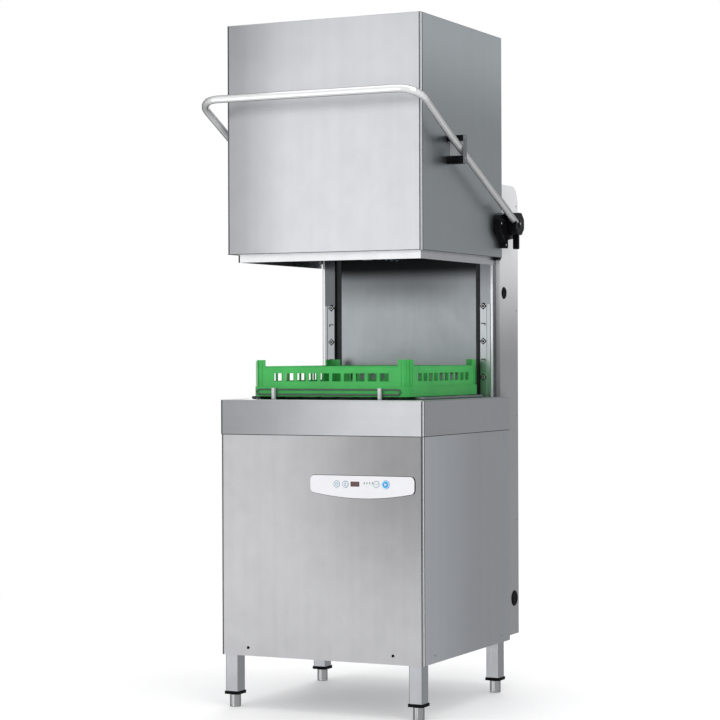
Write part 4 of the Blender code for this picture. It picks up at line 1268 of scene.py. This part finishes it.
@dataclass
class GuidePosts:
    """The two posts beside the splash wall, with their strips, screws and clips."""

    screw_heights: tuple[float, ...] = (0.9475, 1.0560, 1.1620)
    clip_heights: tuple[float, ...] = (1.0020, 1.1100)
    groove: Pair = (0.2667, 0.2708)
    screw_line: float = 0.2560
    screw_head: float = 0.0036
    gasket: float = 0.0108
    washer: float = 0.0062

    def dress(self) -> None:
        """Give the posts, strips and wall their finishes."""
        dress(POST_SHEET, "guide_post_left", "guide_post_right")
        dress(PALE_STEEL, "guide_strip_left", "guide_strip_right")
        dress(SPLASH_SHEET, "splash_wall")

    def build_edges(self) -> None:
        """Add the strip of painted highlight along each post's outer edge and the dark line in each guide
        strip.
        """
        bright = Shape()
        dark = Shape()
        for side, sign in SIDES:
            low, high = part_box(f"guide_post_{side}")
            outer = inner_and_outer(f"guide_post_{side}")[1]
            bright.box((sign * (outer - 0.0080), low.y - 0.0009, low.z),
                       (sign * (outer - 0.0008), low.y, high.z), 0.0004)
            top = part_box(f"guide_strip_{side}")[1].z
            near, far = self.groove
            dark.box((sign * near, low.y - 0.0012, low.z), (sign * far, low.y - 0.0009, top))
        bright.piece("post_edge_highlights", "cabinet", BRIGHT_TRIM)
        dark.piece("guide_strip_grooves", "cabinet", RUBBER)

    def build_fasteners(self) -> None:
        """Add the square washers turned on their corners, their screws, and the small clips between them."""
        pads, plates, heads, clips = Shape(), Shape(), Shape(), Shape()
        squares = ((pads, self.gasket, 0.0005, 0.0), (plates, self.washer, 0.0012, 0.0004))
        for side, sign in SIDES:
            low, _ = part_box(f"guide_strip_{side}")
            across = sign * self.screw_line
            for height in self.screw_heights:
                for shape, reach, near, far in squares:
                    corners = [
                        (across + reach, height), (across, height + reach),
                        (across - reach, height), (across, height - reach),
                    ]
                    shape.prism(corners, Y, low.y - near, low.y - far)
                heads.screw((across, low.y - 0.0011, height), (0, -1, 0), self.screw_head)
            for height in self.clip_heights:
                clips.box((across - 0.0070, low.y - 0.0012, height - 0.0014),
                          (across + 0.0070, low.y, height + 0.0014), 0.0004)
                clips.box((across + sign * 0.0046, low.y - 0.0012, height - 0.0068),
                          (across + sign * 0.0070, low.y, height + 0.0010), 0.0004)
        pads.piece("guide_strip_gaskets", "cabinet", RUBBER)
        plates.piece("guide_strip_washers", "cabinet", BRIGHT_TRIM)
        heads.piece("guide_strip_screws", "cabinet", GLOSS_BLACK)
        clips.piece("guide_strip_clips", "cabinet", GLOSS_BLACK)

    def build_wall_strips(self) -> None:
        """Add dark strips along the splash wall's two edges, painted shadow in place of the shaded gaps
        beside the posts.
        """
        low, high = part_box("splash_wall")
        strips = Shape()
        for _, sign in SIDES:
            strips.box((sign * (high.x - 0.0175), low.y - 0.0009, low.z + 0.005),
                       (sign * (high.x - 0.0002), low.y, high.z), 0.0003)
        strips.piece("splash_wall_edge_shadows", "cabinet", SHADOW_LINE)

    def build(self) -> None:
        """Build and dress the posts."""
        self.dress()
        self.build_edges()
        self.build_fasteners()
        self.build_wall_strips()


# ---------------------------------------------------------------- hood and handle
@dataclass
class Hood:
    """The lifting hood: its sheets, seams, hem, end cap and stops."""

    fold: float = 0.0085
    end_cap_side: Pair = (-0.2906, -0.2862)
    end_cap_depth: Pair = (-0.2772, -0.2700)
    end_cap_top: float = 1.3066
    stop_heights: Pair = (1.3000, 1.3128)
    stop_width: float = 0.0175
    rib_side: float = 0.15
    rib_half: float = 0.02

    def dress(self) -> None:
        """Give the hood's sheets their finishes."""
        dress(HOOD_FRONT, "hood_front_panel")
        dress(HOOD_SIDE, "hood_left_panel", "hood_right_panel")
        dress(HOOD_TOP, "hood_top_panel")
        dress(SKIRT_SHEET, "hood_skirt")
        dress(GLOSS_BLACK, "hood_runner_left", "hood_runner_right")

    def build_ends(self) -> None:
        """Add the black end cap of the skirt and the stops under the hood's rear corners."""
        low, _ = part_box("hood_skirt")
        left, right = self.end_cap_side
        front, rear = self.end_cap_depth
        cap = Shape().box((left, front, low.z - 0.0003), (right, rear, self.end_cap_top), 0.0006)
        cap.piece("skirt_end_cap", "hood", RUBBER)
        foot, top = self.stop_heights
        stops = Shape()
        for side, sign in SIDES:
            run_low, run_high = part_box(f"hood_runner_{side}")
            inner = inner_and_outer(f"hood_runner_{side}")[0]
            stops.box((sign * inner, run_low.y + 0.0005, foot),
                      (sign * (inner + self.stop_width), run_high.y, top), 0.0015)
        stops.piece("hood_stops", "hood", RUBBER)

    def build_hem(self) -> None:
        """Add the joint above the skirt and the stiffening ribs under the hood's top."""
        front_low, front_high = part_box("hood_front_panel")
        side_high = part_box("hood_right_panel")[1]
        joint = Shape()
        skin, tall = 0.0003, 0.0016
        joint.box((front_low.x, front_low.y - skin, front_low.z),
                  (front_high.x, front_low.y + skin, front_low.z + tall))
        for _, sign in SIDES:
            edge = sign * side_high.x
            joint.box((edge - sign * skin, front_low.y + self.fold, front_low.z),
                      (edge + sign * skin, side_high.y, front_low.z + tall))
        joint.piece("hood_skirt_joint", "hood", SHADOW_LINE)
        low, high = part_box("hood_top_panel")
        ribs = Shape()
        half = self.rib_half
        for across in (-self.rib_side, self.rib_side):
            ribs.box((across - half, low.y + half, high.z - 0.0130),
                     (across + half, high.y - half, high.z - 0.0016), 0.002)
        ribs.piece("hood_top_ribs", "hood", TANK_STEEL)

    def build(self) -> None:
        """Build and dress the hood."""
        self.dress()
        painted_fold_highlight("hood_front_panel", "hood", self.fold)
        self.build_ends()
        self.build_hem()


@dataclass
class HandleLinkage:
    """The tubular handle, the brackets that it lifts the hood by, and its pivots."""

    plate: float = 0.0015
    pad: float = 0.0170
    lip: float = 0.0060
    web: float = 0.0255
    screw_head: float = 0.0021
    pivot: Pair = (0.3085, 1.4095)
    cheek_faces: Pair = (0.3345, 0.3370)
    stud_circle: float = 0.0265
    studs: int = 8
    bearing_screws: tuple[Pair, ...] = ((0.2300, 1.4080), (0.2650, 1.3450))

    def dress(self) -> None:
        """Give the tube, hubs and bearings their finishes."""
        dress(TUBE_STEEL, "handle_bar")
        dress(GLOSS_BLACK, "pivot_hub_left", "pivot_hub_right", "pivot_bracket_left", "pivot_bracket_right")

    def build_brackets(self) -> None:
        """Build each bracket as a steel plate and a near-white web, its brightness a painted reflection, with
        a black pad above and below the tube.
        """
        for side, sign in SIDES:
            node = f"handle_bracket_{side}"
            low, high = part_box(node)
            root, widest = inner_and_outer(node)
            outer = widest - self.screw_head
            foot = low.z - self.lip
            steel = Shape()
            steel.box((sign * (outer - self.plate), low.y - 0.0018, foot),
                      (sign * outer, high.y + 0.0018, high.z), 0.0005)
            made = steel.piece(f"bracket_plate_{side}", "hood", POST_SHEET)
            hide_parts(node)
            web = Shape()
            web.box((sign * (root + 0.0001), high.y - 0.0008, low.z + self.pad - 0.002),
                    (sign * (root + self.web), high.y + 0.0007, high.z - self.pad + 0.002), 0.0005)
            web.piece(f"bracket_web_{side}", "hood", BRIGHT_TRIM)
            pads = Shape()
            inner = outer - self.plate - 0.0002
            for bottom, top in ((foot, low.z + self.pad), (high.z - self.pad, high.z - 0.0004)):
                pads.box((sign * (root + 0.0002), low.y - 0.0012, bottom),
                         (sign * inner, high.y + 0.0012, top), 0.0018)
            pads.piece(f"bracket_pads_{side}", "hood", GLOSS_BLACK)
            screws = Shape()
            for height in (low.z + self.pad / 2, high.z - self.pad / 2):
                screws.screw((sign * (outer - 0.0001), (low.y + high.y) / 2, height), (sign, 0, 0), 0.0036)
            screws.screw((sign * (root + 0.030), low.y - 0.0011, high.z - self.pad / 2), (0, -1, 0), 0.0024)
            screws.piece(f"bracket_screws_{side}", "hood", CAST_STEEL)

    def build_sockets(self) -> None:
        """Add the curved steel cheek where each arm of the tube enters its hub."""
        depth, height = self.pivot
        cheek = [
            (depth - 0.1000, height + 0.0520), (depth - 0.0950, height + 0.0590),
            (depth - 0.0800, height + 0.0590), (depth - 0.0600, height + 0.0530),
            (depth - 0.0400, height + 0.0420), (depth - 0.0240, height + 0.0330),
            (depth - 0.0180, height + 0.0200), (depth - 0.0300, height + 0.0040),
        ]
        shape = Shape()
        for _, sign in SIDES:
            shape.prism(cheek, X, *(sign * face for face in self.cheek_faces))
        shape.piece("hub_sockets", "handle", POST_SHEET)

    def build_pivots(self) -> None:
        """Add the washer and cap screw on each hub, and the screws of each bearing."""
        depth, height = self.pivot
        for side, sign in SIDES:
            outer = inner_and_outer(f"pivot_hub_{side}")[1]
            washer = Shape().turned(
                [(0.0125, 0.0), (0.0125, 0.0010), (0.0115, 0.0016), (0.0060, 0.0016)],
                (sign * outer, depth, height), (sign, 0, 0), 32,
            )
            washer.piece(f"pivot_washer_{side}", "handle", GLOSS_BLACK)
            bolt = Shape().screw((sign * (outer + 0.0014), depth, height), (sign, 0, 0), 0.0042)
            bolt.piece(f"pivot_bolt_{side}", "handle", CAST_STEEL)
            grips = Shape()
            for stud in range(self.studs):
                angle = math.tau * stud / self.studs
                grips.turned(
                    [(0.0024, 0.0), (0.0024, 0.0004), (0.0014, 0.0010), (0.0004, 0.0011)],
                    (sign * outer, depth + self.stud_circle * math.cos(angle),
                     height + self.stud_circle * math.sin(angle)),
                    (sign, 0, 0), 12,
                )
            grips.piece(f"hub_studs_{side}", "handle", GLOSS_BLACK)
            face = inner_and_outer(f"pivot_bracket_{side}")[1]
            screws = Shape()
            for screw_depth, screw_height in self.bearing_screws:
                screws.screw((sign * (face - 0.0002), screw_depth, screw_height), (sign, 0, 0), 0.0034)
            screws.piece(f"bearing_screws_{side}", "cabinet", CAST_STEEL)

    def build(self) -> None:
        """Build and dress the linkage."""
        self.dress()
        self.build_brackets()
        self.build_sockets()
        self.build_pivots()


# ---------------------------------------------------------------- rack and spray arms
@dataclass
class Rack:
    """The green plate rack with its pegs, and the clips that hold the guide wire."""

    pitch: float = 0.0590
    pegs: int = 7
    peg_height: float = 0.0760
    floor: float = 0.0079
    wall: float = 0.0042
    corner_room: float = 0.034
    rim: float = 0.9818
    bead: float = 0.0022
    proud: float = 0.0014
    rib_half: float = 0.0012
    rib_insets: Pair = (0.010, 0.024)
    rib_heights: Pair = (0.9270, 0.9990)
    clip_places: tuple[float, ...] = (-0.1800, 0.1590)

    def dress(self) -> None:
        """Give the rack its green plastic."""
        dress(RACK_GREEN, "dish_rack")

    def build_pegs(self) -> None:
        """Add the tapered pegs on the floor's crossings."""
        low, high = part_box("dish_rack")
        middle = (low.y + high.y) / 2
        floor = low.z + self.floor
        tip = self.peg_height
        profile = [(0.0032, 0.0), (0.0028, 0.006), (0.0018, tip - 0.004), (0.0009, tip)]
        central = self.pegs // 2
        shape = Shape()
        for row in range(self.pegs):
            for column in range(self.pegs):
                place = ((column - central) * self.pitch, middle + (row - central) * self.pitch, floor)
                shape.turned(profile, place, (0, 0, 1), 8)
        shape.piece("rack_pegs", "rack", RACK_GREEN)

    def build_ribs(self) -> None:
        """Add the rim bead along the top of each wall and the ribs on the corners."""
        low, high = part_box("dish_rack")
        middle = (low.y + high.y) / 2
        half = high.x - self.wall
        reach = half - self.corner_room
        foot, top = self.rib_heights
        shape = Shape()
        for sign in (-1, 1):
            face, side = middle + sign * half, sign * half
            depth, across = face - sign * self.proud, side - sign * self.proud
            shape.rod([(-reach, depth, self.rim), (reach, depth, self.rim)], self.bead, 10)
            shape.rod([(across, middle - reach, self.rim), (across, middle + reach, self.rim)], self.bead, 10)
            for hand in (-1, 1):
                for inset in self.rib_insets:
                    near = hand * (half - inset - self.rib_half)
                    far = hand * (half - inset + self.rib_half)
                    shape.box((near, face, foot), (far, face + sign * self.proud, top), 0.0005)
                    shape.box((side, middle + near, foot),
                              (side + sign * self.proud, middle + far, top), 0.0005)
        shape.piece("rack_ribs", "rack", RACK_GREEN)

    def build_clips(self) -> None:
        """Add the pale sleeves round the guide wire's two holders."""
        low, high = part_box("rack_guide_wire")
        shape = Shape()
        for across in self.clip_places:
            shape.box((across - 0.0048, low.y - 0.0001, low.z + 0.0006),
                      (across + 0.0048, high.y + 0.0010, high.z + 0.0002), 0.0008)
        shape.piece("guide_wire_clips", "cabinet", PALE_CLIP)

    def build(self) -> None:
        """Build and dress the rack."""
        self.dress()
        self.build_pegs()
        self.build_ribs()
        self.build_clips()


@dataclass
class SprayArms:
    """The wash and rinse arms above and below the rack, with nozzles."""

    wash_steps: tuple[float, ...] = (0.055, 0.095, 0.135, 0.175, 0.212)
    rinse_steps: tuple[float, ...] = (0.050, 0.090, 0.130, 0.170, 0.208)

    def build_arm(self, node: str, facing: int, steps: Iterable[float], radius: float) -> None:
        """Add an arm's nozzles on the side that faces the rack.

        Args:
            node: The arm's node, which is also its body.
            facing: 1 where the nozzles point up and -1 where they point down.
            steps: The nozzles' distances from the arm's axis.
            radius: The nozzles' radius.
        """
        low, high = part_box(node)
        centre = (low + high) / 2
        along_x = high.x - low.x > high.y - low.y
        face = high.z if facing > 0 else low.z
        nozzles = Shape()
        profile = [(radius, -0.0004), (radius, 0.0006), (radius * 0.72, 0.0018), (radius * 0.40, 0.0020),
                   (radius * 0.36, 0.0008)]
        for sign in (-1, 1):
            for step in steps:
                reach = sign * step
                place = (centre.x + reach, centre.y, face) if along_x else (centre.x, centre.y + reach, face)
                nozzles.turned(profile, place, (0, 0, facing), 16)
        nozzles.piece(f"{node}_nozzles", node, NOZZLE_BLUE)

    def build(self) -> None:
        """Dress the arms and add their nozzles."""
        dress(LEG_STEEL, "lower_wash_arm", "upper_wash_arm", "lower_rinse_arm", "upper_rinse_arm")
        self.build_arm("lower_wash_arm", 1, self.wash_steps, 0.0060)
        self.build_arm("upper_wash_arm", -1, self.wash_steps, 0.0060)
        self.build_arm("lower_rinse_arm", 1, self.rinse_steps, 0.0038)
        self.build_arm("upper_rinse_arm", -1, self.rinse_steps, 0.0038)


def main() -> None:
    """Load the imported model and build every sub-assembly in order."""
    logging.basicConfig(level=logging.INFO, format="%(message)s")
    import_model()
    assemblies = (
        Studio(), Cabinet(), ControlPanel(), Tower(), GuidePosts(),
        Hood(), HandleLinkage(), Rack(), SprayArms(),
    )
    for assembly in assemblies:
        assembly.build()
        LOG.info("finished %s", type(assembly).__name__)


if __name__ == "__main__":
    main()
